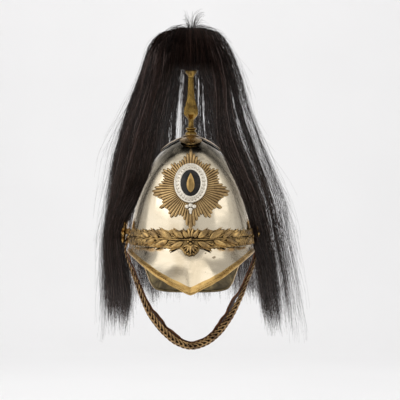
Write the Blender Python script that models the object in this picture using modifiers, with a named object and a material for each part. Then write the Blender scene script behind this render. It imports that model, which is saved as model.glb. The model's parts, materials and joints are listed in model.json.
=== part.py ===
# A heavy cavalry helmet with a falling horsehair plume, in metres.
# The front faces -Y and +Z is up. The origin is the centre of the head opening at the brow.
import math

import bmesh
import bpy
from mathutils import Vector

# Shell
SKULL_HALF_WIDTH = 0.0945
SKULL_FRONT = 0.108
SKULL_BACK = 0.116
SKULL_HEIGHT = 0.169
BROW_FLARE = 0.003
BROW_FLARE_HEIGHT = 0.060
WALL = 0.0012
PEAK_REACH = 0.048
PEAK_DROP = 0.067
NECK_REACH = 0.045
NECK_DROP = 0.084
FLARE_POWER = 1.35
SHELL_COLUMNS = 40
DOME_ROWS = 9
SKIRT_ROWS = 4
SKIRT_ROW_POWER = 1.3

# Fit between touching pieces. A plate's facets bridge the shell's curve, so its corners
# stand a little further off.
SEAT_GAP = 0.0003
PLATE_GAP = 0.0012
BAND_GAP = 0.0009
CROWN_GAP = 0.0012
BINDING_GAP = 0.0006

# Edgings
BINDING_METAL = 0.0008
PEAK_BINDING_OUTSIDE = 0.0060
PEAK_BINDING_AT_POINT = 0.0115
PEAK_POINT_HALF_ANGLE = 50.0
PEAK_BINDING_INSIDE = 0.0045
NECK_BINDING_OUTSIDE = 0.0055
NECK_BINDING_INSIDE = 0.0030
PEAK_BINDING_HALF_ANGLE = 81.0
NECK_BINDING_HALF_ANGLE = 72.0

# Star plate and what it carries
STAR_HEIGHT = 0.0895
BADGE_HEIGHT = 0.0950
STAR_REACH = 0.0575
STAR_RAYS = 48
STAR_EDGE = 0.0010
STAR_HUB = 0.34
RAY_RIDGE = 0.0029
RAY_VALLEY = 0.0013
RAY_NOTCH = 0.0022
STRAP_HALF_WIDTH = 0.0238
STRAP_HALF_HEIGHT = 0.0292
STRAP_BAND = 0.0096
STRAP_THICKNESS = 0.0024
TAB_REACH = 0.0170
TAB_HALF_ANGLE = 11.0
DISC_THICKNESS = 0.0010
DISC_CROWN = 0.0006
MOTIF_HALF_HEIGHT = 0.0140
MOTIF_HALF_WIDTH = 0.0034
MOTIF_THICKNESS = 0.0014

# Leaf band across the brow
BAND_HALF_ANGLE = 80.0
BAND_LEAVES = 10
BAND_TOP = 0.0280
BAND_TOP_AT_END = 0.0255
BAND_LOW = -0.0060
BAND_LOW_AT_END = 0.0010
BAND_FAN_LOW = -0.0150
BAND_FAN_HALF_WIDTH = 0.0125
BAND_TOP_NOTCH = 0.0080
BAND_BACKING = 0.0010
LEAF_RELIEF = 0.0028
LEAF_SLANT = 0.0075
LEAF_NOTCH = 0.0032

# Crown base and plume holder
ARM_REACH = 0.0460
FRONT_ARM_REACH = 0.0430
ARM_SHOULDER = 0.0310
ARM_HALF_ANGLE = 29.0
BOSS_RADIUS = 0.0135
BOSS_HEIGHT = 0.0055
BOSS_TOP_RADIUS = 0.0098
ARM_EDGE = 0.0009
ARM_RIDGE = 0.0026
SPIKE_HEIGHT = 0.1010
SPIKE_RADIUS = 0.0118
SPIKE_COLUMNS = 16

# Ear rosettes
ROSETTE_RADIUS = 0.0225
ROSETTE_HEIGHT = 0.0205
ROSETTE_THICKNESS = 0.0085
ROSETTE_STANDOFF = 0.0068
ROSETTE_PETALS = 12
PETAL_CUT = 0.12
STUD_RADIUS = 0.0048

# Chin chain and its leather
CHAIN_WIDTH = 0.0190
CHAIN_END_WIDTH = 0.0130
CHAIN_THICKNESS = 0.0040
CHAIN_LINK_PITCH = 0.0098
CHAIN_RIPPLE = 0.0009
CHAIN_FRONT_TILT = 35.0
END_RING_WIRE = 0.0012
LEATHER_THICKNESS = 0.0022
LEATHER_WIDTH_SHARE = 0.92
LEATHER_START = 5

# Plume. It hangs clear of the rosettes at its widest, and its crown stands on the holder's cup.
PLUME_THICKNESS = 0.0180
PLUME_CLEARANCE = 0.0257
PLUME_HALF_WIDTH = (
    SKULL_HALF_WIDTH
    + BROW_FLARE
    + ROSETTE_STANDOFF
    + ROSETTE_THICKNESS
    + PLUME_THICKNESS
    + PLUME_CLEARANCE
)
PLUME_CAP_GAP = 0.0024
PLUME_CAP_BOTTOM = SKULL_HEIGHT + BOSS_HEIGHT + SEAT_GAP + SPIKE_HEIGHT + SEAT_GAP + PLUME_CAP_GAP
PLUME_RISE = 0.0695
PLUME_TOP = PLUME_CAP_BOTTOM + PLUME_RISE
PLUME_HEM = -0.1050
PLUME_LOCKS = 16
LOCK_RELIEF = 0.0075
LOCK_TIP = 0.0200
LOCK_SHARP = 22.0
PLUME_CAP_DEPTH = 0.82

WELD = 0.00001

# The lower edge of the shell. Angles run from the middle of the front (0) to the back (180).
# reach is a share of PEAK_REACH or NECK_REACH, drop of PEAK_DROP or NECK_DROP.
# angle, reach, drop
PEAK_RIM = (
    (0.0, 1.000, 1.000),
    (7.5, 0.985, 0.860),
    (15.0, 0.955, 0.715),
    (30.0, 0.750, 0.430),
    (45.0, 0.450, 0.245),
    (60.0, 0.220, 0.168),
    (75.0, 0.080, 0.142),
    (90.0, 0.025, 0.135),
)
NECK_RIM = (
    (90.0, 0.027, 0.108),
    (105.0, 0.060, 0.160),
    (118.0, 0.100, 0.225),
    (128.0, 0.180, 0.315),
    (136.0, 0.300, 0.460),
    (142.0, 0.440, 0.640),
    (147.0, 0.600, 0.800),
    (152.0, 0.760, 0.910),
    (160.0, 0.900, 0.970),
    (170.0, 0.980, 0.995),
    (180.0, 1.000, 1.000),
)

# The star's outline: angle from the top, and reach as a share of STAR_REACH.
STAR_OUTLINE = (
    (0.0, 1.040),
    (4.0, 0.925),
    (18.0, 0.800),
    (36.0, 0.865),
    (48.0, 0.795),
    (61.0, 0.880),
    (76.0, 0.760),
    (90.0, 1.050),
    (104.0, 0.770),
    (118.5, 0.900),
    (130.0, 0.820),
    (141.5, 0.900),
    (160.0, 0.800),
    (176.0, 1.060),
    (180.0, 1.180),
)

# The plume holder's profile, from its foot: height as a share of SPIKE_HEIGHT, radius as a share of
# SPIKE_RADIUS, and how flat its eight sides are (0 is round).
# height, radius, flats
SPIKE_PROFILE = (
    (0.000, 0.800, 0.0),
    (0.045, 0.560, 0.0),
    (0.068, 0.600, 0.0),
    (0.082, 0.720, 0.0),
    (0.100, 0.720, 0.0),
    (0.112, 0.430, 0.0),
    (0.160, 0.390, 0.0),
    (0.235, 0.450, 0.0),
    (0.262, 0.640, 1.0),
    (0.305, 0.960, 1.0),
    (0.350, 1.000, 1.0),
    (0.420, 0.880, 1.0),
    (0.520, 0.610, 1.0),
    (0.620, 0.470, 1.0),
    (0.890, 0.370, 1.0),
    (0.925, 0.520, 1.0),
    (0.965, 0.780, 0.0),
    (1.000, 0.830, 0.0),
)

# The ear rosette's section: radius as a share of ROSETTE_RADIUS, lift as a share of
# ROSETTE_THICKNESS, and how deep the petals cut the outline there.
# radius, lift, petal
ROSETTE_SECTION = (
    (1.00, 0.10, 1.0),
    (0.84, 0.52, 0.8),
    (0.60, 0.38, 0.3),
    (0.52, 0.80, 0.8),
    (0.30, 0.62, 0.2),
    (0.22, 0.96, 0.0),
)

# The chin chain's route on one side, from below the rosette's stud to the lowest point:
# distance out from the middle and height, in metres. Left and right differ a little.
# out, height
CHAIN_ROUTE_LEFT = (
    (0.1020, 0.0030),
    (0.1036, -0.0120),
    (0.0985, -0.0280),
    (0.0925, -0.0430),
    (0.0862, -0.0590),
    (0.0800, -0.0760),
    (0.0735, -0.0920),
    (0.0655, -0.1080),
    (0.0550, -0.1230),
    (0.0410, -0.1385),
    (0.0225, -0.1530),
    (0.0000, -0.1600),
)
CHAIN_ROUTE_RIGHT = (
    (0.1020, 0.0030),
    (0.1040, -0.0120),
    (0.0995, -0.0280),
    (0.0940, -0.0430),
    (0.0875, -0.0590),
    (0.0810, -0.0760),
    (0.0735, -0.0920),
    (0.0655, -0.1075),
    (0.0555, -0.1230),
    (0.0430, -0.1385),
    (0.0235, -0.1535),
    (0.0000, -0.1600),
)

# Where the leather stands away from the chain: place along the chain (0 left, 1 right),
# how far it stands off as a share of CHAIN_WIDTH, and the stretch that it takes.
# place, stand off, stretch
LEATHER_BULGES = (
    (0.335, 0.20, 0.060),
    (0.420, 0.16, 0.030),
    (0.640, 0.16, 0.040),
    (0.725, 0.26, 0.055),
)

# The plume curtain's sections, from inside its cap to its hem. height is a share of PLUME_TOP
# above zero and of PLUME_HEM below. width, shift, front and back are shares of
# PLUME_HALF_WIDTH, opening is the angle from the front where each edge starts, and thick is a
# share of PLUME_THICKNESS.
# height, width, shift, front, back, opening, thick
PLUME_SECTIONS = (
    (0.972, 0.190, 0.000, 0.160, 0.190, 34.0, 0.40),
    (0.940, 0.300, 0.000, 0.250, 0.300, 34.0, 0.55),
    (0.880, 0.410, 0.000, 0.330, 0.410, 33.0, 0.70),
    (0.800, 0.490, 0.000, 0.350, 0.490, 32.0, 0.80),
    (0.718, 0.540, -0.010, 0.310, 0.560, 30.0, 0.90),
    (0.632, 0.590, -0.030, 0.310, 0.620, 28.0, 0.95),
    (0.534, 0.666, -0.027, 0.330, 0.700, 27.0, 1.00),
    (0.434, 0.741, -0.013, 0.360, 0.780, 31.0, 1.00),
    (0.322, 0.815, 0.016, 0.400, 0.870, 40.0, 0.95),
    (0.193, 0.886, 0.048, 0.430, 0.960, 45.0, 0.90),
    (0.023, 0.938, 0.060, 0.450, 1.080, 50.0, 0.85),
    (-0.450, 0.980, 0.090, 0.450, 1.160, 50.0, 0.80),
    (-1.000, 1.000, 0.110, 0.450, 1.230, 48.0, 0.40),
)
# The crown's height is a share of the way from PLUME_CAP_BOTTOM to PLUME_TOP.
# height, width
PLUME_CAP = (
    (0.950, 0.080),
    (0.825, 0.170),
    (0.660, 0.275),
    (0.364, 0.380),
    (0.000, 0.455),
)


def clear_scene():
    for obj in list(bpy.data.objects):
        bpy.data.objects.remove(obj, do_unlink=True)


def make_material(name, colour, roughness, metallic):
    material = bpy.data.materials.new(name)
    material.use_nodes = True
    shader = material.node_tree.nodes["Principled BSDF"]
    shader.inputs["Base Color"].default_value = (*colour, 1.0)
    shader.inputs["Roughness"].default_value = roughness
    shader.inputs["Metallic"].default_value = metallic
    return material


def lerp(a, b, t):
    return a + (b - a) * t


def ease(t):
    t = min(1.0, max(0.0, t))
    return t * t * (3.0 - 2.0 * t)


def smooth_table(rows, column, at):
    """A column of a table at a value of its first column, on a curve through the rows."""
    keys = [row[0] for row in rows]
    if at <= keys[0]:
        return rows[0][column]
    if at >= keys[-1]:
        return rows[-1][column]
    i = max(k for k in range(len(keys) - 1) if keys[k] <= at)
    t = (at - keys[i]) / (keys[i + 1] - keys[i])
    before = rows[max(i - 1, 0)][column]
    a, b = rows[i][column], rows[i + 1][column]
    after = rows[min(i + 2, len(rows) - 1)][column]
    return 0.5 * (
        2 * a
        + (b - before) * t
        + (2 * before - 5 * a + 4 * b - after) * t**2
        + (3 * a - before - 3 * b + after) * t**3
    )


def linear_table(rows, column, at):
    keys = [row[0] for row in rows]
    if at <= keys[0]:
        return rows[0][column]
    for low, high in zip(rows, rows[1:]):
        if at <= high[0]:
            return lerp(low[column], high[column], (at - low[0]) / (high[0] - low[0]))
    return rows[-1][column]


def dome_share(z):
    return math.sqrt(max(0.0, 1.0 - (z / SKULL_HEIGHT) ** 2)) if z > 0 else 1.0


def brow_flare(z):
    return BROW_FLARE * max(0.0, 1.0 - max(z, 0.0) / BROW_FLARE_HEIGHT) ** 2


def half_width(z):
    return SKULL_HALF_WIDTH * dome_share(z) + brow_flare(z)


def half_length(angle, z):
    full = SKULL_FRONT if math.cos(angle) >= 0 else SKULL_BACK
    return full * dome_share(z) + brow_flare(z)


def rim_at(angle):
    """How far the shell's edge reaches out and down, at this angle from the front."""
    around = abs(math.degrees(math.atan2(math.sin(angle), math.cos(angle))))
    if around <= 90.0:
        reach, drop, table = PEAK_REACH, PEAK_DROP, PEAK_RIM
    else:
        reach, drop, table = NECK_REACH, NECK_DROP, NECK_RIM
    return reach * smooth_table(table, 1, around), drop * smooth_table(table, 2, around)


def shell_point(angle, z):
    """A point of the shell's outer face, at an angle from the front and a height."""
    point = Vector((half_width(z) * math.sin(angle), -half_length(angle, z) * math.cos(angle), z))
    if z < 0:
        reach, drop = rim_at(angle)
        share = -z / drop
        outward = Vector((math.sin(angle), -math.cos(angle), 0.0))
        point += outward * reach * share**FLARE_POWER
    return point


def shell_normal(angle, z):
    step = 0.0005
    across = shell_point(angle + step / SKULL_FRONT, z) - shell_point(angle - step / SKULL_FRONT, z)
    low = max(z - step, -rim_at(angle)[1])
    high = min(z + step, SKULL_HEIGHT * 0.9999)
    up = shell_point(angle, high) - shell_point(angle, low)
    return across.cross(up).normalized()


def front_seat(x, z, lift):
    """A point over the front of the skull, seen from the front at x and z."""
    angle = math.asin(max(-1.0, min(1.0, x / half_width(z))))
    return shell_point(angle, z) + shell_normal(angle, z) * lift


def crown_seat(x, y, lift):
    """A point over the crown, seen from above at x and y."""
    length = SKULL_FRONT if y <= 0 else SKULL_BACK
    share = min(0.999, math.hypot(x / SKULL_HALF_WIDTH, y / length))
    z = SKULL_HEIGHT * math.sqrt(1.0 - share**2)
    normal = Vector((x / SKULL_HALF_WIDTH**2, y / length**2, z / SKULL_HEIGHT**2))
    return Vector((x, y, z)) + normal.normalized() * lift


def finish(name, bm, material, smooth_angle=35.0):
    """Welds a closed or open sheet of faces and makes it an object with a material."""
    bmesh.ops.remove_doubles(bm, verts=bm.verts, dist=WELD)
    bmesh.ops.dissolve_degenerate(bm, edges=bm.edges, dist=WELD)
    bmesh.ops.recalc_face_normals(bm, faces=bm.faces)
    mesh = bpy.data.meshes.new(name)
    bm.to_mesh(mesh)
    bm.free()
    mesh.shade_smooth()
    mesh.set_sharp_from_angle(angle=math.radians(smooth_angle))
    obj = bpy.data.objects.new(name, mesh)
    obj.data.materials.append(material)
    collection.objects.link(obj)
    return obj


def grid(columns, rows, place):
    """A grid of faces whose points are put where place(column, row) says."""
    bm = bmesh.new()
    bmesh.ops.create_grid(bm, x_segments=columns, y_segments=rows, size=1.0)
    for vert in bm.verts:
        column = round((vert.co.x + 1.0) / 2.0 * columns)
        row = round((vert.co.y + 1.0) / 2.0 * rows)
        vert.co = place(column, row)
    return bm


def capped_tube(sections):
    """A closed body through a list of sections, each a ring of as many points."""
    around = len(sections[0])
    bm = grid(around, len(sections) - 1, lambda column, row: sections[row][column % around])
    bmesh.ops.remove_doubles(bm, verts=bm.verts, dist=WELD)
    bmesh.ops.holes_fill(bm, edges=[e for e in bm.edges if e.is_boundary], sides=0)
    return bm


def union(target, others):
    """Joins closed bodies into one and removes the ones that went in."""
    for other in others:
        modifier = target.modifiers.new("join", "BOOLEAN")
        modifier.operation = "UNION"
        modifier.object = other
        graph = bpy.context.evaluated_depsgraph_get()
        joined = bpy.data.meshes.new_from_object(target.evaluated_get(graph))
        target.modifiers.clear()
        target.data = joined
        bpy.data.objects.remove(other, do_unlink=True)
    bm = bmesh.new()
    bm.from_mesh(target.data)
    bmesh.ops.remove_doubles(bm, verts=bm.verts, dist=WELD)
    bmesh.ops.recalc_face_normals(bm, faces=bm.faces)
    bm.to_mesh(target.data)
    bm.free()
    return target


def skirt_share(row):
    """How far down to the edge the shell's row of corners below the brow lies."""
    return (row / SKIRT_ROWS) ** SKIRT_ROW_POWER


def make_skull(material):
    rows = DOME_ROWS + SKIRT_ROWS

    def place(column, row):
        angle = 2.0 * math.pi * column / SHELL_COLUMNS
        if row <= DOME_ROWS:
            rise = math.sin(math.pi / 2 * (1.0 - row / DOME_ROWS))
            return shell_point(angle, SKULL_HEIGHT * rise)
        share = skirt_share(row - DOME_ROWS)
        return shell_point(angle, -rim_at(angle)[1] * share)

    skull = finish("skull", grid(SHELL_COLUMNS, rows, place), material)
    shell = skull.modifiers.new("wall", "SOLIDIFY")
    shell.thickness = WALL
    shell.offset = -1.0
    return skull


def make_binding(name, middle, half_angle, outside, at_middle, inside, material):
    """A folded strip over the shell's edge, on the same angles as the shell's facets. Its
    outer leaf widens from outside to at_middle towards its middle."""
    step = 360.0 / SHELL_COLUMNS
    count = round(2 * half_angle / step)
    turn = math.radians(step)
    face, back = BINDING_GAP, -WALL - BINDING_GAP
    fold = (
        (-BINDING_GAP - BINDING_METAL, face + BINDING_METAL),
        (-BINDING_GAP - BINDING_METAL, back - BINDING_METAL),
        (inside, back - BINDING_METAL),
        (inside, back),
        (-BINDING_GAP, back),
        (-BINDING_GAP, face),
    )
    sections = []
    for i in range(count + 1):
        off_middle = abs(i * step - half_angle)
        leaf = lerp(at_middle, outside, ease(off_middle / PEAK_POINT_HALF_ANGLE))
        angle = math.radians(middle - half_angle) + i * turn
        drop = rim_at(angle)[1]
        edge = shell_point(angle, -drop)
        up = (shell_point(angle, -drop * skirt_share(SKIRT_ROWS - 1)) - edge).normalized()
        before = shell_point(angle - turn, -rim_at(angle - turn)[1])
        after = shell_point(angle + turn, -rim_at(angle + turn)[1])
        along = (after - edge).normalized() + (edge - before).normalized()
        normal = along.cross(up).normalized()
        profile = fold + ((leaf, face), (leaf, face + BINDING_METAL))
        sections.append([edge + up * rise + normal * lift for rise, lift in profile])
    return finish(name, capped_tube(sections), material)


def make_peak_binding(material):
    return make_binding(
        "peak_binding",
        0.0,
        PEAK_BINDING_HALF_ANGLE,
        PEAK_BINDING_OUTSIDE,
        PEAK_BINDING_AT_POINT,
        PEAK_BINDING_INSIDE,
        material,
    )


def make_neck_binding(material):
    return make_binding(
        "neck_binding",
        180.0,
        NECK_BINDING_HALF_ANGLE,
        NECK_BINDING_OUTSIDE,
        NECK_BINDING_OUTSIDE,
        NECK_BINDING_INSIDE,
        material,
    )


def star_reach(angle):
    around = abs(math.degrees(math.atan2(math.sin(angle), math.cos(angle))))
    return STAR_REACH * linear_table(STAR_OUTLINE, 1, around)


def make_star(material):
    columns = 2 * STAR_RAYS
    back = [(share, None) for share in (0.0, 0.35, 0.68, 1.0)]
    front = [(share, (1.0 - share) / (1.0 - STAR_HUB)) for share in (1.0, 0.8, 0.56, STAR_HUB)]
    rings = back + front + [(0.0, 0.0)]

    def place(column, row):
        angle = 2.0 * math.pi * column / columns
        ridge = column % 2 == 0
        share, rise = rings[row]
        radius = share * (star_reach(angle) - (0.0 if ridge else RAY_NOTCH))
        top = RAY_RIDGE if ridge and share else RAY_VALLEY
        lift = PLATE_GAP + (0.0 if rise is None else lerp(STAR_EDGE, top, rise if share else 1.0))
        return front_seat(radius * math.sin(angle), STAR_HEIGHT + radius * math.cos(angle), lift)

    return finish("star_plate", grid(columns, len(rings) - 1, place), material, 15.0)


def badge_lift():
    return PLATE_GAP + RAY_RIDGE + SEAT_GAP


def oval(angle, inset):
    """A point of the strap's oval, pulled in by an inset, as x and height."""
    return (
        (STRAP_HALF_WIDTH - inset) * math.sin(angle),
        BADGE_HEIGHT + (STRAP_HALF_HEIGHT - inset) * math.cos(angle),
    )


def make_oval_strap(material):
    columns = 32
    low = badge_lift()
    section = ((0.0, 0.0), (0.0, 0.55), (0.25, 1.0), (0.75, 1.0), (1.0, 0.45), (1.0, 0.0))

    def place(column, row):
        angle = 2.0 * math.pi * column / columns
        across, rise = section[row % len(section)]
        below = abs(math.degrees(angle) - 180.0)
        inset = across * STRAP_BAND
        if across == 0.0 and below < TAB_HALF_ANGLE:
            inset = -TAB_REACH * (1.0 - 0.75 * below / TAB_HALF_ANGLE)
        x, z = oval(angle, inset)
        return front_seat(x, z, low + rise * STRAP_THICKNESS)

    return finish("oval_strap", grid(columns, len(section), place), material)


def make_disc(material):
    columns = 24
    low = badge_lift()
    edge = STRAP_BAND + SEAT_GAP

    def place(column, row):
        angle = 2.0 * math.pi * column / columns
        share, rise = (
            (0.0, 0.0),
            (1.0, 0.0),
            (1.0, DISC_THICKNESS),
            (0.5, DISC_THICKNESS + 0.75 * DISC_CROWN),
            (0.0, DISC_THICKNESS + DISC_CROWN),
        )[row]
        x, z = oval(angle, edge)
        return front_seat(x * share, BADGE_HEIGHT + (z - BADGE_HEIGHT) * share, low + rise)

    return finish("enamel_disc", grid(columns, 4, place), material)


def make_motif(material):
    """A plain upright leaf, pointed at both ends, with a rib down its middle."""
    low = badge_lift() + DISC_THICKNESS + DISC_CROWN + SEAT_GAP
    rows = 8
    ring = ((-1.0, 0.25), (0.0, 1.0), (1.0, 0.25), (1.0, 0.0), (0.0, 0.0), (-1.0, 0.0))

    def place(column, row):
        side, rise = ring[column % len(ring)]
        along = -1.0 + 2.0 * row / rows
        spread = math.cos(math.pi / 2 * along) ** 0.6 if abs(along) < 1.0 else 0.0
        x = side * MOTIF_HALF_WIDTH * spread
        z = BADGE_HEIGHT + along * MOTIF_HALF_HEIGHT
        thick = MOTIF_THICKNESS * (0.25 + 0.75 * spread) * (1.0 if spread else 0.0)
        return front_seat(x, z, low + rise * thick)

    return finish("leaf_motif", grid(len(ring), rows, place), material)


def brow_angle(arc):
    """The angle from the front at this distance round the brow."""
    steps = 180
    travelled = 0.0
    for i in range(steps):
        angle = math.pi / 2 * i / steps
        ahead = math.pi / 2 * (i + 1) / steps
        piece = (shell_point(ahead, 0.0) - shell_point(angle, 0.0)).length
        if travelled + piece >= abs(arc):
            found = lerp(angle, ahead, (abs(arc) - travelled) / piece)
            return math.copysign(found, arc)
        travelled += piece
    return math.copysign(math.pi / 2, arc)


def brow_arc(angle):
    steps = 60
    points = [shell_point(angle * i / steps, 0.0) for i in range(steps + 1)]
    return sum((b - a).length for a, b in zip(points, points[1:]))


def band_edges(arc, half_arc):
    """The top and low edges of the leaf band at this distance from its middle."""
    share = min(1.0, abs(arc) / half_arc)
    top = lerp(BAND_TOP, BAND_TOP_AT_END, share)
    low = lerp(BAND_LOW, BAND_LOW_AT_END, share)
    fan = max(0.0, 1.0 - (abs(arc) / BAND_FAN_HALF_WIDTH) ** 2)
    return top, low + (BAND_FAN_LOW - BAND_LOW) * math.sqrt(fan)


def make_laurel_band(material):
    """Leaves either side of a stem, slanting away from the middle. Even columns are the
    leaves' ribs and odd ones the gaps between them."""
    half_arc = brow_arc(math.radians(BAND_HALF_ANGLE))
    per_side = 2 * BAND_LEAVES
    pitch = (half_arc - LEAF_SLANT) / per_side
    across = (1.0, 0.5, 0.0, -0.5, -1.0)
    front_rows = len(across)

    def surface(column, row, backing):
        count = column - per_side
        rib = count % 2 == 0
        side = across[row]
        arc = count * pitch + math.copysign(abs(side) * LEAF_SLANT, count) * (count != 0)
        top, low = band_edges(arc, half_arc)
        middle = 0.5 * (BAND_TOP_AT_END + BAND_LOW_AT_END)
        if not rib:
            top -= LEAF_NOTCH
            low += LEAF_NOTCH
        if count == 0 and side > 0:
            top -= BAND_TOP_NOTCH
        z = lerp(middle, top, side) if side > 0 else lerp(middle, low, -side)
        relief = LEAF_RELIEF * (1.0 if rib else 0.3)
        relief *= 0.35 if abs(side) == 1.0 else 1.0
        lift = BAND_GAP + (0.0 if backing else BAND_BACKING + relief)
        angle = brow_angle(arc)
        return shell_point(angle, z) + shell_normal(angle, z) * lift

    def ring(column):
        front = [surface(column, row, False) for row in range(front_rows)]
        rear = [surface(column, row, True) for row in reversed(range(front_rows))]
        return front + rear

    sections = [ring(column) for column in range(2 * per_side + 1)]
    return finish("laurel_band", capped_tube(sections), material, 15.0)


def arm_reach(angle):
    """How far the crown base reaches in this direction, with an arm at each quarter turn."""
    turn = (math.degrees(angle) + 45.0) % 90.0 - 45.0
    front = math.cos(angle) > math.cos(math.radians(45.0))
    if abs(turn) >= ARM_HALF_ANGLE:
        return BOSS_RADIUS * 1.12
    return lerp(FRONT_ARM_REACH if front else ARM_REACH, ARM_SHOULDER, (turn / ARM_HALF_ANGLE) ** 2)


def make_cross_base(material):
    columns = 48
    back = (0.0, 0.25, 0.5, 0.75, 1.0)
    front = (1.0, 0.75, 0.5)
    rows = len(back) + len(front) + 2

    def place(column, row):
        angle = 2.0 * math.pi * column / columns
        rib = column % 12 == 0
        reach = arm_reach(angle)
        if row < len(back):
            radius, lift = back[row] * reach, CROWN_GAP
        elif row < rows - 2:
            share = front[row - len(back)]
            radius = max(share * reach, BOSS_RADIUS * (1.0 + 0.1 * share))
            rise = ARM_RIDGE if rib else 0.5 * (ARM_EDGE + ARM_RIDGE)
            lift = CROWN_GAP + (ARM_EDGE if share == 1.0 else rise)
        else:
            radius, lift = (BOSS_TOP_RADIUS, 0.0)[row - rows + 2], BOSS_HEIGHT
        point = crown_seat(radius * math.sin(angle), -radius * math.cos(angle), lift)
        if row >= rows - 2:
            point = Vector((radius * math.sin(angle), -radius * math.cos(angle), 0.0))
            point.z = SKULL_HEIGHT + BOSS_HEIGHT
        return point

    return finish("cross_base", grid(columns, rows - 1, place), material)


def spike_foot():
    return SKULL_HEIGHT + BOSS_HEIGHT + SEAT_GAP


def make_spike(material):
    def ring(height, radius, flats):
        points = []
        for i in range(SPIKE_COLUMNS):
            turn = 2.0 * math.pi * i / SPIKE_COLUMNS
            middle_of_flat = i % 2 == 0
            pull = math.cos(math.pi / 8) if middle_of_flat else 1.0
            reach = SPIKE_RADIUS * radius * lerp(1.0, pull, flats)
            z = spike_foot() + height * SPIKE_HEIGHT
            points.append(Vector((reach * math.sin(turn), -reach * math.cos(turn), z)))
        return points

    return finish("plume_spike", capped_tube([ring(*row) for row in SPIKE_PROFILE]), material, 25.0)


def rosette_frame(side):
    """The rosette's middle on the shell, and its outward, forward and up directions."""
    angle = math.radians(90.0) * side
    middle = shell_point(angle, ROSETTE_HEIGHT)
    outward = shell_normal(angle, ROSETTE_HEIGHT)
    forward = Vector((0.0, -1.0, 0.0))
    return middle, outward, forward, forward.cross(outward) * side


def make_rosette(name, side, material):
    columns = 2 * ROSETTE_PETALS
    middle, outward, forward, up = rosette_frame(side)
    section = (
        [(0.0, SEAT_GAP, 0.0), (STUD_RADIUS, SEAT_GAP, 0.0), (STUD_RADIUS, ROSETTE_STANDOFF, 0.0)]
        + [
            (share * ROSETTE_RADIUS, ROSETTE_STANDOFF + lift * ROSETTE_THICKNESS, petal)
            for share, lift, petal in ROSETTE_SECTION
        ]
        + [(0.0, ROSETTE_STANDOFF + ROSETTE_THICKNESS, 0.0)]
    )

    def place(column, row):
        angle = 2.0 * math.pi * column / columns
        radius, lift, petal = section[row]
        radius *= 1.0 - (PETAL_CUT * petal if column % 2 else 0.0)
        return (
            middle
            + outward * lift
            + forward * radius * math.sin(angle)
            + up * radius * math.cos(angle)
        )

    return finish(name, grid(columns, len(section) - 1, place), material)


def chain_route():
    """The chain's middle line from the left end to the right, as points close together."""
    left = [Vector((-out, 0.0, height)) for out, height in CHAIN_ROUTE_LEFT]
    right = [Vector((out, 0.0, height)) for out, height in reversed(CHAIN_ROUTE_RIGHT[:-1])]
    knots = [end_ring_bottom(-1)] + left + right + [end_ring_bottom(1)]
    points = []
    for i in range(len(knots) - 1):
        before, a = knots[max(i - 1, 0)], knots[i]
        b, after = knots[i + 1], knots[min(i + 2, len(knots) - 1)]
        for k in range(8):
            t = k / 8
            points.append(
                0.5
                * (
                    2 * a
                    + (b - before) * t
                    + (2 * before - 5 * a + 4 * b - after) * t**2
                    + (3 * a - before - 3 * b + after) * t**3
                )
            )
    points.append(knots[-1])
    return points


def along_route(points, count):
    """Equal steps along a line of points: place from 0 to 1, point and direction."""
    lengths = [0.0]
    for a, b in zip(points, points[1:]):
        lengths.append(lengths[-1] + (b - a).length)
    found = []
    for i in range(count + 1):
        goal = lengths[-1] * i / count
        k = max(j for j in range(len(points) - 1) if lengths[j] <= goal + 1e-9)
        t = (goal - lengths[k]) / (lengths[k + 1] - lengths[k])
        point = points[k].lerp(points[k + 1], t)
        before = points[max(k - 1, 0)]
        after = points[min(k + 2, len(points) - 1)]
        found.append((i / count, point, (after - before).normalized()))
    return found


def chain_frame(place, direction):
    """Across and outward directions of the chain there. Its face turns to the front low down."""
    outward = Vector((0.0, 1.0, 0.0)).cross(direction).normalized()
    tilt = math.radians(CHAIN_FRONT_TILT) * ease(2.2 * (0.5 - abs(place - 0.5)))
    back = Vector((0.0, 1.0, 0.0))
    face = outward * math.cos(tilt) - back * math.sin(tilt)
    across = back * math.cos(tilt) + outward * math.sin(tilt)
    return across, face


def chain_half_width(place):
    return 0.5 * lerp(CHAIN_END_WIDTH, CHAIN_WIDTH, ease(2.0 * (0.5 - abs(place - 0.5)) * 1.6))


def chain_steps(points):
    """Two steps to a link, so that the chain and its leather bend at the same places."""
    length = sum((b - a).length for a, b in zip(points, points[1:]))
    return 2 * round(length / CHAIN_LINK_PITCH)


def make_chain(material):
    points = chain_route()
    profile = ((-1.0, 0.25), (-0.45, 0.5), (0.45, 0.5), (1.0, 0.25), (1.0, -0.5), (-1.0, -0.5))
    sections = []
    for i, (place, point, direction) in enumerate(along_route(points, chain_steps(points))):
        across, face = chain_frame(place, direction)
        ripple = CHAIN_RIPPLE * (1.0 if i % 2 else -1.0)
        width = chain_half_width(place) + 0.5 * ripple
        thick = CHAIN_THICKNESS
        sections.append(
            [
                point + across * side * width + face * (rise * thick + (rise > 0) * 0.5 * ripple)
                for side, rise in profile
            ]
        )
    chain = finish("chin_chain", capped_tube(sections), material)
    return union(chain, [make_end_ring(side) for side in (-1, 1)])


def end_ring_radius():
    return STUD_RADIUS + 2.0 * SEAT_GAP + END_RING_WIRE


def end_ring_centre(side):
    middle, outward, _, _ = rosette_frame(side)
    return middle + outward * (0.5 * ROSETTE_STANDOFF)


def end_ring_bottom(side):
    return end_ring_centre(side) - rosette_frame(side)[3] * end_ring_radius()


def make_end_ring(side):
    """The ring that hangs on the rosette's stud, as a torus turned to face outward."""
    bpy.ops.mesh.primitive_torus_add(
        major_segments=12,
        minor_segments=5,
        major_radius=end_ring_radius(),
        minor_radius=END_RING_WIRE,
        location=end_ring_centre(side),
        rotation=rosette_frame(side)[1].to_track_quat("Z", "Y").to_euler(),
    )
    return bpy.context.object


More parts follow.
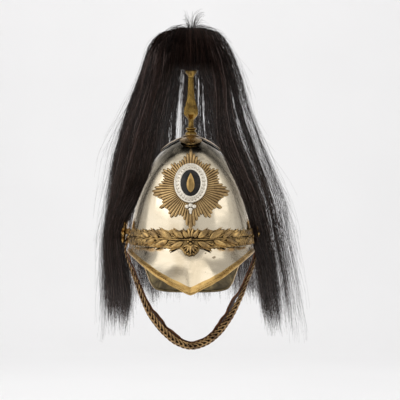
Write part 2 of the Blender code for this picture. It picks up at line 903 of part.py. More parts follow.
def make_leather(material):
    points = chain_route()
    sections = []
    lining = CHAIN_THICKNESS / 2 + SEAT_GAP
    steps = along_route(points, chain_steps(points))
    for place, point, direction in steps[LEATHER_START:-LEATHER_START]:
        across, face = chain_frame(place, direction)
        stand_off = sum(
            share * CHAIN_WIDTH * math.exp(-(((place - middle) / stretch) ** 2))
            for middle, share, stretch in LEATHER_BULGES
        )
        width = chain_half_width(place) * LEATHER_WIDTH_SHARE
        outer = lining + stand_off
        inner = outer + LEATHER_THICKNESS
        sections.append(
            [
                point - across * width - face * outer,
                point + across * width - face * outer,
                point + across * width - face * inner,
                point - across * width - face * inner,
            ]
        )
    return finish("chin_leather", capped_tube(sections), material)


def plume_height(share):
    return PLUME_TOP * share if share >= 0 else -PLUME_HEM * share


def plume_section(row, columns):
    """A C-shaped ring: the outer face from the right edge round the back to the left edge,
    then the inner face back again."""
    height, width, shift, front, back, opening, thick = PLUME_SECTIONS[row]
    last = row == len(PLUME_SECTIONS) - 1
    start = math.radians(opening)
    outer, inner = [], []
    for i in range(columns + 1):
        u = i / columns
        angle = lerp(start, 2.0 * math.pi - start, u)
        depth = front if math.cos(angle) > 0 else back
        side = Vector((shift + width * math.sin(angle), -depth * math.cos(angle), 0.0))
        side *= PLUME_HALF_WIDTH
        outward = Vector((math.sin(angle) / width, -math.cos(angle) / depth, 0.0)).normalized()
        crest = i % 2 == 1
        fullness = 0.35 + 0.65 * ease(min(u, 1.0 - u) / 0.10)
        wall = PLUME_THICKNESS * thick * fullness
        z = plume_height(height)
        if last:
            z += LOCK_TIP * (-0.5 if crest else 0.5)
        ripple = LOCK_RELIEF * thick * fullness * (0.0 if crest else 1.0)
        outer.append(side - outward * ripple + Vector((0.0, 0.0, z)))
        inner.append(side - outward * wall + Vector((0.0, 0.0, z)))
    return outer + inner[::-1]


def make_plume(material):
    columns = 2 * PLUME_LOCKS
    sections = [plume_section(row, columns) for row in range(len(PLUME_SECTIONS))]
    curtain = finish("plume_curtain", capped_tube(sections), material, LOCK_SHARP)

    def place(column, row):
        angle = 2.0 * math.pi * column / columns
        if row == 0:
            return Vector((0.0, 0.0, PLUME_TOP))
        if row > len(PLUME_CAP):
            reach = (0.80, 0.0)[row - len(PLUME_CAP) - 1] * PLUME_CAP[-1][1] * PLUME_HALF_WIDTH
            z = PLUME_CAP_BOTTOM - (0.0 if reach else PLUME_CAP_GAP)
        else:
            height, width = PLUME_CAP[row - 1]
            reach = width * PLUME_HALF_WIDTH
            z = PLUME_CAP_BOTTOM + height * PLUME_RISE
        if column % 2 == 0:
            reach -= LOCK_RELIEF * min(1.0, reach / (0.3 * PLUME_HALF_WIDTH))
        depth = PLUME_CAP_DEPTH if math.cos(angle) > 0 else 1.0
        return Vector((reach * math.sin(angle), -reach * depth * math.cos(angle), z))

    cap = finish("plume", grid(columns, len(PLUME_CAP) + 2, place), material, LOCK_SHARP)
    return union(cap, [curtain])


clear_scene()
collection = bpy.data.collections.new("cavalry_helmet")
bpy.context.scene.collection.children.link(collection)

white_metal = make_material("white_metal", (0.78, 0.74, 0.66), 0.16, 1.0)
gilt = make_material("gilt_brass", (0.72, 0.48, 0.18), 0.30, 1.0)
bright_silver = make_material("silver", (0.86, 0.84, 0.80), 0.28, 1.0)
enamel = make_material("black_enamel", (0.02, 0.02, 0.03), 0.15, 0.0)
hair = make_material("horsehair", (0.030, 0.020, 0.018), 0.45, 0.0)
leather = make_material("brown_leather", (0.10, 0.045, 0.020), 0.55, 0.0)

make_skull(white_metal)
make_peak_binding(gilt)
make_neck_binding(gilt)
make_laurel_band(gilt)
make_star(gilt)
make_oval_strap(bright_silver)
make_disc(enamel)
make_motif(gilt)
make_cross_base(gilt)
make_spike(gilt)
make_rosette("rosette_left", -1, gilt)
make_rosette("rosette_right", 1, gilt)
make_chain(gilt)
make_leather(leather)
make_plume(hair)
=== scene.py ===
import bpy
import json
import math
import random
import numpy as np
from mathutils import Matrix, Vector

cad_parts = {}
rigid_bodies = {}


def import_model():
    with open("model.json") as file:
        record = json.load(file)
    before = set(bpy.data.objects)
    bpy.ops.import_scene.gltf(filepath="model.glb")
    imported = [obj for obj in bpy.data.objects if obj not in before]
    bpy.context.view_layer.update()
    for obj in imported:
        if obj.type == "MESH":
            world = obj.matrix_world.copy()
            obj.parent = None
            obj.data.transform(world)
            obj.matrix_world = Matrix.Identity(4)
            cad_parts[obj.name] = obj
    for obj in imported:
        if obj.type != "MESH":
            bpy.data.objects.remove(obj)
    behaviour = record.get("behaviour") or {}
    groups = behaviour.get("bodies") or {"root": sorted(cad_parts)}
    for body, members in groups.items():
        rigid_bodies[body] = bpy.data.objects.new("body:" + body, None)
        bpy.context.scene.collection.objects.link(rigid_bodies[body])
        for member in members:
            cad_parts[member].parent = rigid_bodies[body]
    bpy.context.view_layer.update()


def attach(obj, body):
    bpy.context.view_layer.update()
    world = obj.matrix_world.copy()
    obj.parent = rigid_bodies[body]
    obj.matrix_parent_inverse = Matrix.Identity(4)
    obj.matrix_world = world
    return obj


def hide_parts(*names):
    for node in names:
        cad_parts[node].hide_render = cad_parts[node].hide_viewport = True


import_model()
random.seed(7)
print("frame loaded")


# small tools for shaping

def lerp(a, b, t):
    return a + (b - a) * t


def ease(t):
    t = min(1.0, max(0.0, t))
    return t * t * (3 - 2 * t)


def turnOf(step, steps):  # the angle of one step out of a full turn
    return 2 * math.pi * step / steps


def degreesOff(angle):  # how far an angle lies from the front, 0 to 180
    return abs(math.degrees(math.atan2(math.sin(angle), math.cos(angle))))


def curveThrough(rows, i, t):  # a smooth curve from row i to the next
    before, a, b, after = rows[max(i - 1, 0)], rows[i], rows[i + 1], rows[min(i + 2, len(rows) - 1)]
    curve = 2 * a + (b - before) * t + (2 * before - 5 * a + 4 * b - after) * t**2
    return 0.5 * (curve + (3 * a - before - 3 * b + after) * t**3)


def bothFaces(step, across):  # side runs from 1 to -1 over the top, then back below
    step %= 2 * across
    top = step <= across
    return (1 - 2 * step / across if top else -1 + 2 * (step - across) / across), top


def newObject(name, data):
    piece = bpy.data.objects.new(name, data)
    bpy.context.scene.collection.objects.link(piece)
    return piece


def clearSelection():
    for other in bpy.context.view_layer.objects:
        other.select_set(False)


def pick(piece):
    clearSelection()
    piece.select_set(True)
    bpy.context.view_layer.objects.active = piece


def weld(piece, distance=0.00001, capHoles=True):
    pick(piece)
    bpy.ops.object.mode_set(mode="EDIT")
    bpy.ops.mesh.select_all(action="SELECT")
    bpy.ops.mesh.remove_doubles(threshold=distance)
    if capHoles:
        bpy.ops.mesh.select_all(action="SELECT")
        bpy.ops.mesh.fill_holes(sides=0)
    bpy.ops.mesh.select_all(action="SELECT")
    bpy.ops.mesh.normals_make_consistent(inside=False)
    bpy.ops.object.mode_set(mode="OBJECT")
    return piece


def newGrid(name, columns, rows, place):  # a grid whose corners go where place(column, row) says
    clearSelection()
    bpy.ops.mesh.primitive_grid_add(x_subdivisions=columns, y_subdivisions=rows, size=2)
    piece = bpy.context.object
    piece.name = name
    piece.data.name = name
    for corner in piece.data.vertices:
        column = round((corner.co.x + 1) / 2 * columns)
        row = round((corner.co.y + 1) / 2 * rows)
        corner.co = place(column, row)
    return piece


def loft(name, rings):  # a closed body through rings of as many points each
    around = len(rings[0])
    return weld(newGrid(name, around, len(rings) - 1, lambda column, row: rings[row][column % around]))


def button(name, sides, profile, seat):  # a low round body, laid where seat(x, z, lift) says
    def place(column, row):
        angle = turnOf(column, sides)
        share, up = profile[row]
        return seat(share * math.sin(angle), share * math.cos(angle), up)

    return weld(newGrid(name, sides, len(profile) - 1, place))


def copyOf(blank, name, move):  # a copy with its own mesh, each corner moved
    piece = newObject(name, blank.data.copy())
    for corner in piece.data.vertices:
        corner.co = move(corner.co)
    return piece


def joined(pieces, name):
    clearSelection()
    for piece in pieces:
        piece.select_set(True)
    bpy.context.view_layer.objects.active = pieces[0]
    bpy.ops.object.join()
    pieces[0].name = name
    pieces[0].data.name = name
    return pieces[0]


def drop(piece):
    bpy.data.objects.remove(piece, do_unlink=True)


def settle(piece, finish, slot, *nodes, angle=None):  # its look; it joins the root body and hides the parts it replaces
    if angle:  # edges flatter than this many degrees are shaded smooth
        pick(piece)
        bpy.ops.object.shade_smooth_by_angle(angle=math.radians(angle))
    if finish:
        piece.data.materials.clear()
        piece.data.materials.append(finish)
    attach(piece, "root")
    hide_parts(*nodes)


# the camera looks level along +Y, with the skull a little left of the picture's middle
view = {"distance": 2.2, "seenWidth": 0.632, "x": 0.0142, "z": 0.071, "sensor": 36.0, "farEnd": 50}
camera = newObject("photoCamera", bpy.data.cameras.new("photoCamera"))
camera.location = (view["x"], -view["distance"], view["z"])
camera.rotation_euler = (math.radians(90), 0, 0)
camera.data.sensor_width = view["sensor"]
camera.data.lens = view["sensor"] * view["distance"] / view["seenWidth"]
camera.data.clip_end = view["farEnd"]
bpy.context.scene.camera = camera


# finishes

def newFinish(name, colour, roughness, metallic, specular=None):
    finish = bpy.data.materials.new(name)
    finish.use_nodes = True
    shader = finish.node_tree.nodes["Principled BSDF"]
    shader.inputs["Base Color"].default_value = (*colour, 1)
    shader.inputs["Roughness"].default_value = roughness
    shader.inputs["Metallic"].default_value = metallic
    if specular:
        shader.inputs["Specular IOR Level"].default_value = specular
    return finish, finish.node_tree, shader


def feed(tree, shader, colour=None, roughness=None):
    for value, socket in ((colour, "Base Color"), (roughness, "Roughness")):
        if value:
            tree.links.new(value, shader.inputs[socket])


def objectPlace(tree):
    return tree.nodes.new("ShaderNodeTexCoord").outputs["Object"]


def noiseOn(tree, scale, detail=4, stretch=(1, 1, 1), distortion=0.0):
    mapping = tree.nodes.new("ShaderNodeMapping")
    mapping.inputs["Scale"].default_value = stretch
    texture = tree.nodes.new("ShaderNodeTexNoise")
    texture.inputs["Scale"].default_value = scale
    texture.inputs["Detail"].default_value = detail
    texture.inputs["Distortion"].default_value = distortion
    tree.links.new(objectPlace(tree), mapping.inputs["Vector"])
    tree.links.new(mapping.outputs["Vector"], texture.inputs["Vector"])
    return texture.outputs["Fac"]


def rampOn(tree, value, *stops):
    ramp = tree.nodes.new("ShaderNodeValToRGB")
    while len(ramp.color_ramp.elements) < len(stops):
        ramp.color_ramp.elements.new(0.5)
    for element, (place, colour) in zip(ramp.color_ramp.elements, stops):
        element.position = place
        element.color = (*colour, 1)
    tree.links.new(value, ramp.inputs["Fac"])
    return ramp.outputs["Color"]


def rangeOn(tree, value, low, high, toLow=0.0, toHigh=1.0):
    node = tree.nodes.new("ShaderNodeMapRange")
    for socket, number in zip(("From Min", "From Max", "To Min", "To Max"), (low, high, toLow, toHigh)):
        node.inputs[socket].default_value = number
    tree.links.new(value, node.inputs["Value"])
    return node.outputs["Result"]


def mixOn(tree, share, first, second):
    node = tree.nodes.new("ShaderNodeMix")
    node.data_type = "RGBA"
    tree.links.new(share, node.inputs[0])
    for socket, colour in ((node.inputs[6], first), (node.inputs[7], second)):
        if isinstance(colour, tuple):
            socket.default_value = (*colour, 1)
        else:
            tree.links.new(colour, socket)
    return node.outputs[2]


def bumpOn(tree, shader, value, strength, distance):
    bump = tree.nodes.new("ShaderNodeBump")
    bump.inputs["Strength"].default_value = strength
    bump.inputs["Distance"].default_value = distance
    tree.links.new(value, bump.inputs["Height"])
    if shader.inputs["Normal"].is_linked:
        tree.links.new(shader.inputs["Normal"].links[0].from_socket, bump.inputs["Normal"])
    tree.links.new(bump.outputs["Normal"], shader.inputs["Normal"])


def opennessOn(tree, distance, dark, light):  # how open a point is, for a darker tone in hollows
    node = tree.nodes.new("ShaderNodeAmbientOcclusion")
    node.inputs["Distance"].default_value = distance
    node.samples = 6
    return rangeOn(tree, node.outputs["AO"], dark, light)


def whiteMetal():
    finish, tree, shader = newFinish("whiteMetal", (0.82, 0.71, 0.54), 0.13, 1.0)
    stain = rampOn(tree, noiseOn(tree, 14, 6, distortion=0.6), (0.28, (0.64, 0.53, 0.37)),
                   (0.46, (0.82, 0.71, 0.535)), (0.75, (0.88, 0.78, 0.61)))
    pits = rangeOn(tree, noiseOn(tree, 420, 2), 0.72, 0.78)
    marks = rangeOn(tree, noiseOn(tree, 75, 1), 0.775, 0.80, 0.0, 0.8)
    surfaceColour = mixOn(tree, pits, stain, (0.24, 0.17, 0.10))
    surfaceColour = mixOn(tree, marks, surfaceColour, (0.20, 0.14, 0.08))
    # painted dark reflection: the crown is darkened towards its top, in cloudy patches
    split = tree.nodes.new("ShaderNodeSeparateXYZ")
    tree.links.new(objectPlace(tree), split.inputs["Vector"])
    crownPaintedReflection = tree.nodes.new("ShaderNodeMath")
    crownPaintedReflection.operation = "MULTIPLY"
    tree.links.new(rangeOn(tree, split.outputs["Z"], 0.104, 0.142), crownPaintedReflection.inputs[0])
    paintedReflectionPatches = rangeOn(tree, noiseOn(tree, 38, 5, distortion=1.5), 0.35, 0.6, 0.55, 1.0)
    tree.links.new(paintedReflectionPatches, crownPaintedReflection.inputs[1])
    surfaceColour = mixOn(tree, crownPaintedReflection.outputs["Value"], surfaceColour, (0.165, 0.145, 0.105))
    smears = noiseOn(tree, 30, 8, stretch=(1, 1, 3), distortion=1.0)
    feed(tree, shader, surfaceColour, rangeOn(tree, smears, 0.3, 0.75, 0.10, 0.26))
    bumpOn(tree, shader, noiseOn(tree, 9, 2), 0.30, 0.0025)  # soft hand-beaten waves
    bumpOn(tree, shader, noiseOn(tree, 900, 2, stretch=(1, 1, 0.06)), 0.05, 0.0002)  # polishing lines
    return finish


def agedInside():
    finish, tree, shader = newFinish("agedInside", (0.12, 0.10, 0.05), 0.55, 0.4)
    clouds = noiseOn(tree, 34, 8, distortion=1.2)
    tone = rampOn(tree, clouds, (0.34, (0.036, 0.027, 0.013)), (0.5, (0.120, 0.088, 0.038)),
                  (0.70, (0.34, 0.255, 0.105)))
    feed(tree, shader, tone, rangeOn(tree, clouds, 0.3, 0.7, 0.70, 0.42))
    bumpOn(tree, shader, noiseOn(tree, 220, 4), 0.3, 0.0004)
    return finish


def gilt(name, bright, dull, hollowTone, roughness, hollowDepth=0.0022):
    finish, tree, shader = newFinish(name, bright, roughness, 1.0)
    surfaceColour = rampOn(tree, noiseOn(tree, 60, 6, distortion=0.8), (0.36, dull), (0.60, bright))
    fine = noiseOn(tree, 700, 3)
    feed(tree, shader, mixOn(tree, opennessOn(tree, hollowDepth, 0.45, 0.92), hollowTone, surfaceColour),
         rangeOn(tree, fine, 0.3, 0.7, roughness * 0.75, roughness * 1.35))
    bumpOn(tree, shader, fine, 0.12, 0.0002)
    bumpOn(tree, shader, noiseOn(tree, 120, 3), 0.25, 0.0005)
    return finish


def brightSilver():
    finish, tree, shader = newFinish("brightSilver", (0.88, 0.84, 0.76), 0.42, 0.55)
    tone = rampOn(tree, noiseOn(tree, 420, 4), (0.36, (0.74, 0.67, 0.55)), (0.56, (0.95, 0.88, 0.76)))
    feed(tree, shader, mixOn(tree, opennessOn(tree, 0.0022, 0.45, 0.95), (0.16, 0.13, 0.09), tone))
    bumpOn(tree, shader, noiseOn(tree, 500, 3), 0.3, 0.0004)
    return finish


def blackEnamel():
    finish, tree, shader = newFinish("blackEnamel", (0.010, 0.009, 0.008), 0.22, 0.0, 0.30)
    feed(tree, shader, rampOn(tree, noiseOn(tree, 90, 4), (0.4, (0.004, 0.004, 0.004)),
                              (0.7, (0.022, 0.019, 0.015))))
    bumpOn(tree, shader, noiseOn(tree, 70, 2), 0.25, 0.0008)
    return finish


def brownLeather():
    finish, tree, shader = newFinish("brownLeather", (0.10, 0.045, 0.02), 0.5, 0.0, 0.30)
    clouds = noiseOn(tree, 90, 6, distortion=0.6)
    tone = rampOn(tree, clouds, (0.3, (0.050, 0.018, 0.008)), (0.55, (0.150, 0.056, 0.022)),
                  (0.78, (0.30, 0.135, 0.055)))
    feed(tree, shader, tone, rangeOn(tree, clouds, 0.3, 0.7, 0.42, 0.66))
    cells = tree.nodes.new("ShaderNodeTexVoronoi")
    cells.inputs["Scale"].default_value = 900
    tree.links.new(objectPlace(tree), cells.inputs["Vector"])
    bumpOn(tree, shader, cells.outputs["Distance"], 0.35, 0.0004)
    bumpOn(tree, shader, noiseOn(tree, 160, 3), 0.3, 0.0008)
    return finish


def horsehair():
    finish, tree, shader = newFinish("horsehair", (0.012, 0.009, 0.009), 0.36, 0.0, 0.16)
    tone = tree.nodes.new("ShaderNodeAttribute")
    tone.attribute_name = "strandToneAndSheen"
    # the palest stops mostly carry the strands painted pale as painted highlights and sheen
    colour = rampOn(tree, tone.outputs["Fac"],
                    (0.00, (0.0022, 0.0014, 0.0012)), (0.45, (0.0045, 0.0024, 0.0020)),
                    (0.72, (0.0260, 0.0105, 0.0070)), (0.90, (0.0800, 0.0430, 0.0340)),
                    (1.00, (0.3200, 0.2400, 0.2200)))
    shader.inputs["Specular Tint"].default_value = (1.0, 0.74, 0.62, 1)
    streaks = noiseOn(tree, 300, 2, stretch=(1, 1, 0.1))
    feed(tree, shader, colour, rangeOn(tree, streaks, 0.3, 0.7, 0.32, 0.52))
    return finish


def capCloth():
    finish, tree, shader = newFinish("capCloth", (0.004, 0.003, 0.003), 0.95, 0.0, 0.05)
    feed(tree, shader, rampOn(tree, noiseOn(tree, 500, 3, stretch=(1, 1, 0.2)),
                              (0.4, (0.002, 0.0015, 0.0015)), (0.65, (0.009, 0.006, 0.005))))
    bumpOn(tree, shader, noiseOn(tree, 600, 3, stretch=(1, 1, 0.2)), 0.5, 0.0006)
    return finish


finishes = {
    "whiteMetal": whiteMetal(), "agedInside": agedInside(), "silver": brightSilver(), "enamel": blackEnamel(),
    "leather": brownLeather(), "hair": horsehair(), "cap": capCloth(),
    # bright, dull and hollow tone, roughness, and how deep the darker hollow tone reaches
    "edging": gilt("giltEdging", (0.70, 0.46, 0.17), (0.46, 0.28, 0.09), (0.08, 0.045, 0.015), 0.26),
    "starGilt": gilt("giltStar", (0.52, 0.35, 0.16), (0.31, 0.20, 0.09), (0.028, 0.017, 0.008), 0.31, 0.0024),
    "leafGilt": gilt("giltLeaves", (0.58, 0.38, 0.15), (0.21, 0.135, 0.062), (0.022, 0.014, 0.007),
                     0.26, 0.0042),
    "spikeBrass": gilt("giltHolder", (0.42, 0.265, 0.070), (0.17, 0.100, 0.028), (0.04, 0.022, 0.008),
                       0.20, 0.0060),
    "chainBrass": gilt("giltChain", (0.46, 0.29, 0.13), (0.17, 0.095, 0.048), (0.018, 0.010, 0.006),
                       0.28, 0.0034),
    "dullEdging": gilt("tarnishedEdging", (0.20, 0.15, 0.075), (0.10, 0.075, 0.038), (0.02, 0.015, 0.008),
                       0.5),
    "motifGilt": gilt("giltMotif", (0.52, 0.34, 0.13), (0.30, 0.19, 0.07), (0.03, 0.018, 0.008), 0.36),
}
print("finishes made")

# the skull's form, with the solid model's sizes; fold is how many degrees round off the peak's crease
shell = {
    "halfWidth": 0.0945, "front": 0.108, "back": 0.116, "height": 0.169, "wall": 0.0012,
    "flare": 0.003, "flareHeight": 0.060, "flarePower": 1.35,
    "peakReach": 0.048, "peakDrop": 0.067, "fold": 6, "neckReach": 0.045, "neckDrop": 0.084,
    # angle from the front, then shares of the reach and the drop
    "peakRim": ((0, 1.000, 1.000), (7.5, 0.985, 0.860), (15, 0.955, 0.715), (30, 0.750, 0.430),
                (45, 0.450, 0.245), (60, 0.220, 0.168), (75, 0.080, 0.142), (90, 0.025, 0.135)),
    "neckRim": ((90, 0.027, 0.108), (105, 0.060, 0.160), (118, 0.100, 0.225), (128, 0.180, 0.315),
                (136, 0.300, 0.460), (142, 0.440, 0.640), (147, 0.600, 0.800), (152, 0.760, 0.910),
                (160, 0.900, 0.970), (170, 0.980, 0.995), (180, 1.000, 1.000)),
    "normalStep": 0.0005,
}


def smoothTable(rows, column, at):
    keys = [row[0] for row in rows]
    if at <= keys[0]:
        return rows[0][column]
    if at >= keys[-1]:
        return rows[-1][column]
    i = max(k for k in range(len(keys) - 1) if keys[k] <= at)
    return curveThrough([row[column] for row in rows], i, (at - keys[i]) / (keys[i + 1] - keys[i]))


def domeShare(z):
    return math.sqrt(max(0.0, 1 - (z / shell["height"]) ** 2)) if z > 0 else 1.0


def browFlare(z):
    return shell["flare"] * max(0.0, 1 - max(z, 0) / shell["flareHeight"]) ** 2


def halfWidth(z):
    return shell["halfWidth"] * domeShare(z) + browFlare(z)


def rimAt(angle):  # how far the edge reaches out and down
    around = degreesOff(angle)
    part = "peak" if around <= 90 else "neck"
    return (shell[part + "Reach"] * smoothTable(shell[part + "Rim"], 1, around),
            shell[part + "Drop"] * smoothTable(shell[part + "Rim"], 2, around))


def shellPoint(angle, z):
    length = shell["front"] if math.cos(angle) >= 0 else shell["back"]
    halfLength = length * domeShare(z) + browFlare(z)
    point = Vector((halfWidth(z) * math.sin(angle), -halfLength * math.cos(angle), z))
    if z < 0:
        reach, fall = rimAt(angle)
        around = degreesOff(angle)
        if around < 90:  # the crease of the peak's point stays sharp only at the rim
            soft = shell["peakDrop"] * smoothTable(shell["peakRim"], 2, math.hypot(around, shell["fold"]))
            fall += (soft - fall) * (1 - (-z / fall) ** 3)
        out = reach * (-z / fall) ** shell["flarePower"]
        point += Vector((math.sin(angle), -math.cos(angle), 0)) * out
    return point


def shellNormal(angle, z):
    step = shell["normalStep"]
    turn = step / shell["front"]
    across = shellPoint(angle + turn, z) - shellPoint(angle - turn, z)
    low = max(z - step, -rimAt(angle)[1])
    high = min(z + step, shell["height"] * 0.9999)
    return across.cross(shellPoint(angle, high) - shellPoint(angle, low)).normalized()


def shellSeat(angle, z, lift):
    return shellPoint(angle, z) + shellNormal(angle, z) * lift


def frontSeat(x, z, lift):  # over the skull's front, seen from the front at x and z
    return shellSeat(math.asin(max(-1.0, min(1.0, x / halfWidth(z)))), z, lift)


def crownSeat(x, y, lift):  # over the crown, seen from above
    length = shell["front"] if y <= 0 else shell["back"]
    share = min(0.999, math.hypot(x / shell["halfWidth"], y / length))
    z = shell["height"] * math.sqrt(1 - share**2)
    normal = Vector((x / shell["halfWidth"] ** 2, y / length**2, z / shell["height"] ** 2))
    return Vector((x, y, z)) + normal.normalized() * lift


# skull, peak and neck guard in one wall
skullMesh = {"around": 144, "domeRows": 44, "skirtRows": 26, "skirtPower": 1.15}


def makeSkull():
    domeRows, skirtRows = skullMesh["domeRows"], skullMesh["skirtRows"]

    def place(column, row):
        angle = turnOf(column, skullMesh["around"])
        if row <= domeRows:
            return shellPoint(angle, shell["height"] * math.sin(math.pi / 2 * (1 - row / domeRows)))
        return shellPoint(angle, -rimAt(angle)[1] * ((row - domeRows) / skirtRows) ** skullMesh["skirtPower"])

    skull = newGrid("skullShell", skullMesh["around"], domeRows + skirtRows, place)
    weld(skull, capHoles=False)
    middle = skull.data.polygons[len(skull.data.polygons) // 2]
    if middle.normal.dot(Vector((middle.center.x, middle.center.y, 0))) < 0:
        skull.data.flip_normals()
    skull.data.materials.append(finishes["whiteMetal"])
    skull.data.materials.append(finishes["agedInside"])
    wall = skull.modifiers.new("wall", "SOLIDIFY")
    wall.thickness = shell["wall"]
    wall.offset = -1
    wall.material_offset = 1
    wall.material_offset_rim = 0
    pick(skull)
    bpy.ops.object.modifier_apply(modifier=wall.name)
    settle(skull, None, "white_metal", "skull", angle=50)


makeSkull()
print("skull made")

# folded edgings, wider at the peak's point; peak and neck give the middle and half angle in degrees,
# the leaf's width at the ends and in the middle, and its width inside
edging = {"metal": 0.0009, "gap": 0.0003, "steps": 150, "pointAngle": 50, "lip": 0.0005, "insideLip": 0.0004,
          "bead": (0.0022, 0.0012, -0.0003), "endAngle": 4, "endRoll": 0.65,
          "peak": (0, 82, 0.0060, 0.0115, 0.0045), "neck": (180, 73, 0.0055, 0.0055, 0.0030)}


def makeEdging(name, part, node, dullInside=False):
    middle, halfAngle, outside, atMiddle, inside = edging[part]
    metal, face = edging["metal"], edging["gap"]
    back = -shell["wall"] - face
    beadLow, beadTop, beadEnd = edging["bead"]
    rings = []
    for i in range(edging["steps"] + 1):
        offMiddle = abs(2 * i / edging["steps"] - 1) * halfAngle
        leaf = lerp(atMiddle, outside, ease(offMiddle / edging["pointAngle"]))
        angle = math.radians(middle - halfAngle + 2 * halfAngle * i / edging["steps"])
        fall = rimAt(angle)[1]
        edge = shellPoint(angle, -fall)
        up = (shellPoint(angle, -fall * 0.85) - edge).normalized()
        normal = shellNormal(angle, -fall * 0.97)
        fromEnd = min(1.0, (halfAngle - offMiddle) / edging["endAngle"])
        roll = math.sin(fromEnd * math.pi / 2) * (1 - edging["endRoll"]) + edging["endRoll"]
        profile = (
            (leaf, face), (leaf, face + 0.5 * metal), (leaf - edging["lip"], face + metal),
            (beadLow, face + metal), (beadTop, face + 1.45 * metal), (beadEnd, face + 1.35 * metal),
            (-face - metal * 1.2, face + 0.3 * metal), (-face - metal * 1.35, 0.5 * (face + back)),
            (-face - metal * 1.2, back - 0.3 * metal), (0.0, back - 1.2 * metal),
            (inside - edging["insideLip"], back - metal), (inside, back - 0.5 * metal), (inside, back),
            (-face, back), (-face, face),
        )
        rings.append([edge + up * rise * (1 if rise > edging["lip"] else roll) + normal * lift
                      for rise, lift in profile])
    piece = loft(name, rings)
    settle(piece, finishes["edging"], "gilt_brass", node, angle=40)
    if dullInside:  # never polished, so brown with age
        piece.data.materials.append(finishes["dullEdging"])
        for side in piece.data.polygons:
            inward = Vector((-side.center.x, -side.center.y, 0)).normalized()
            if side.normal.dot(inward) > 0.2 or side.normal.z < -0.75:
                side.material_index = 1


makeEdging("peakEdging", "peak", "peak_binding")
makeEdging("neckEdging", "neck", "neck_binding", True)
print("edgings made")

# rayed star: rounded fluted rays over a thin plate
star = {"height": 0.0895, "reach": 0.0575, "rays": 64, "gap": 0.0006, "plate": 0.0009, "hub": 0.0150,
        "rayHeight": 0.0017, "along": 12, "across": 6, "wander": 0.0010, "fill": 0.46, "widest": 0.00235,
        "tipLength": 2.2, "sink": 0.0003, "plateInset": 0.0034, "plateShares": (0, 0.2, 0.4, 0.6, 0.8, 1),
        # degrees from the top, then how far the rays reach there
        "outline": ((0, 1.030), (6, 0.920), (15, 0.800), (27, 0.720), (38, 0.830), (46, 0.740), (58, 0.915),
                    (67, 0.780), (79, 0.770), (90, 0.940), (99, 1.050), (110, 0.840), (117, 0.810),
                    (124, 0.970), (132, 0.810), (147, 0.955), (158, 0.770), (166, 0.810), (174, 1.000),
                    (180, 1.170))}


def starReach(angle):
    return star["reach"] * float(np.interp(degreesOff(angle), *zip(*star["outline"])))


def starSeat(radius, angle, lift, side=0.0):
    return frontSeat(radius * math.sin(angle) + side * math.cos(angle),
                     star["height"] + radius * math.cos(angle) - side * math.sin(angle), lift)


def makeRay(angle, reach):
    base = star["gap"] + star["plate"]
    rings = []
    for i in range(star["along"] + 1):
        t = i / star["along"]
        radius = lerp(star["hub"], reach, 1 - (1 - t) ** 1.5)
        half = min(turnOf(star["fill"] * min(radius, reach - 0.001), star["rays"]), star["widest"])
        toTip = (reach - radius) / (star["tipLength"] * half)
        tip = math.sqrt(max(0.0, 1 - (1 - min(1.0, toTip)) ** 2))
        half *= max(tip, 0.12)
        height = star["rayHeight"] * (0.55 + 0.45 * t) * max(tip, 0.15)
        turns = [math.pi * j / star["across"] for j in range(star["across"] + 1)]
        rings.append([starSeat(radius, angle, base + height * math.sin(turn), half * math.cos(turn))
                      for turn in turns] + [starSeat(radius, angle, base - star["sink"])])
    return loft("ray", rings)


def makeStar():
    rays = []
    for k in range(star["rays"]):
        angle = turnOf(k, star["rays"])
        rays.append(makeRay(angle, starReach(angle) + random.uniform(-star["wander"], star["wander"])))
    columns = 2 * star["rays"]
    shares = star["plateShares"] + star["plateShares"][::-1]

    def plate(column, row):
        angle = turnOf(column, columns)
        radius = shares[row] * (starReach(angle) - star["plateInset"])
        return starSeat(radius, angle, star["gap"] + (star["plate"] if 2 * row >= len(shares) else 0))

    whole = joined([weld(newGrid("starBack", columns, len(shares) - 1, plate))] + rays, "rayedStar")
    settle(whole, finishes["starGilt"], "gilt_brass", "star_plate", angle=50)


makeStar()
print("star made")

# oval ring with pellets, dark field, upright leaf and small hanging tab
badge = {"height": 0.0950, "halfWidth": 0.0238, "halfHeight": 0.0292, "band": 0.0096, "lift": 0.0036,
         "thick": 0.0022, "around": 96, "pellets": 28, "pelletSize": 0.0014, "pelletRise": 0.62,
         # across the band and up, as shares
         "profile": ((0, 0), (0, 0.5), (0.04, 0.95), (0.12, 1.15), (0.20, 0.95), (0.26, 0.62), (0.74, 0.62),
                     (0.80, 0.95), (0.88, 1.15), (0.96, 0.95), (1, 0.5), (1, 0)),
         # the tab's round lobes and then its point: x, z from the ring's middle, radius, rise and stretch
         "tab": (("lobe", -0.0052, -0.0345, 0.0030, 0.0022, 1), ("lobe", 0.0052, -0.0345, 0.0030, 0.0022, 1),
                 ("lobe", 0, -0.0325, 0.0034, 0.0022, 1), ("lobe", 0, -0.0390, 0.0030, 0.0022, 1),
                 ("tabPoint", 0, -0.0425, 0.0018, 0.0016, 2)),
         "tabSink": 0.0012, "tabSides": 16,
         "tabProfile": ((0, 0), (1, 0), (1, 0.35), (0.86, 0.75), (0.55, 0.95), (0, 1)),
         # the field: share of its width, and its rise
         "field": ((0, 0), (1, 0), (1, 0.0008), (0.8, 0.0012), (0.55, 0.0015), (0.3, 0.0017), (0, 0.0018)),
         "fieldSides": 64, "fieldGap": 0.0001,
         "leafHalfHeight": 0.0145, "leafHalfWidth": 0.0062, "leafThick": 0.0016, "leafLift": 0.0019}


def oval(angle, inset):
    return ((badge["halfWidth"] - inset) * math.sin(angle),
            badge["height"] + (badge["halfHeight"] - inset) * math.cos(angle))


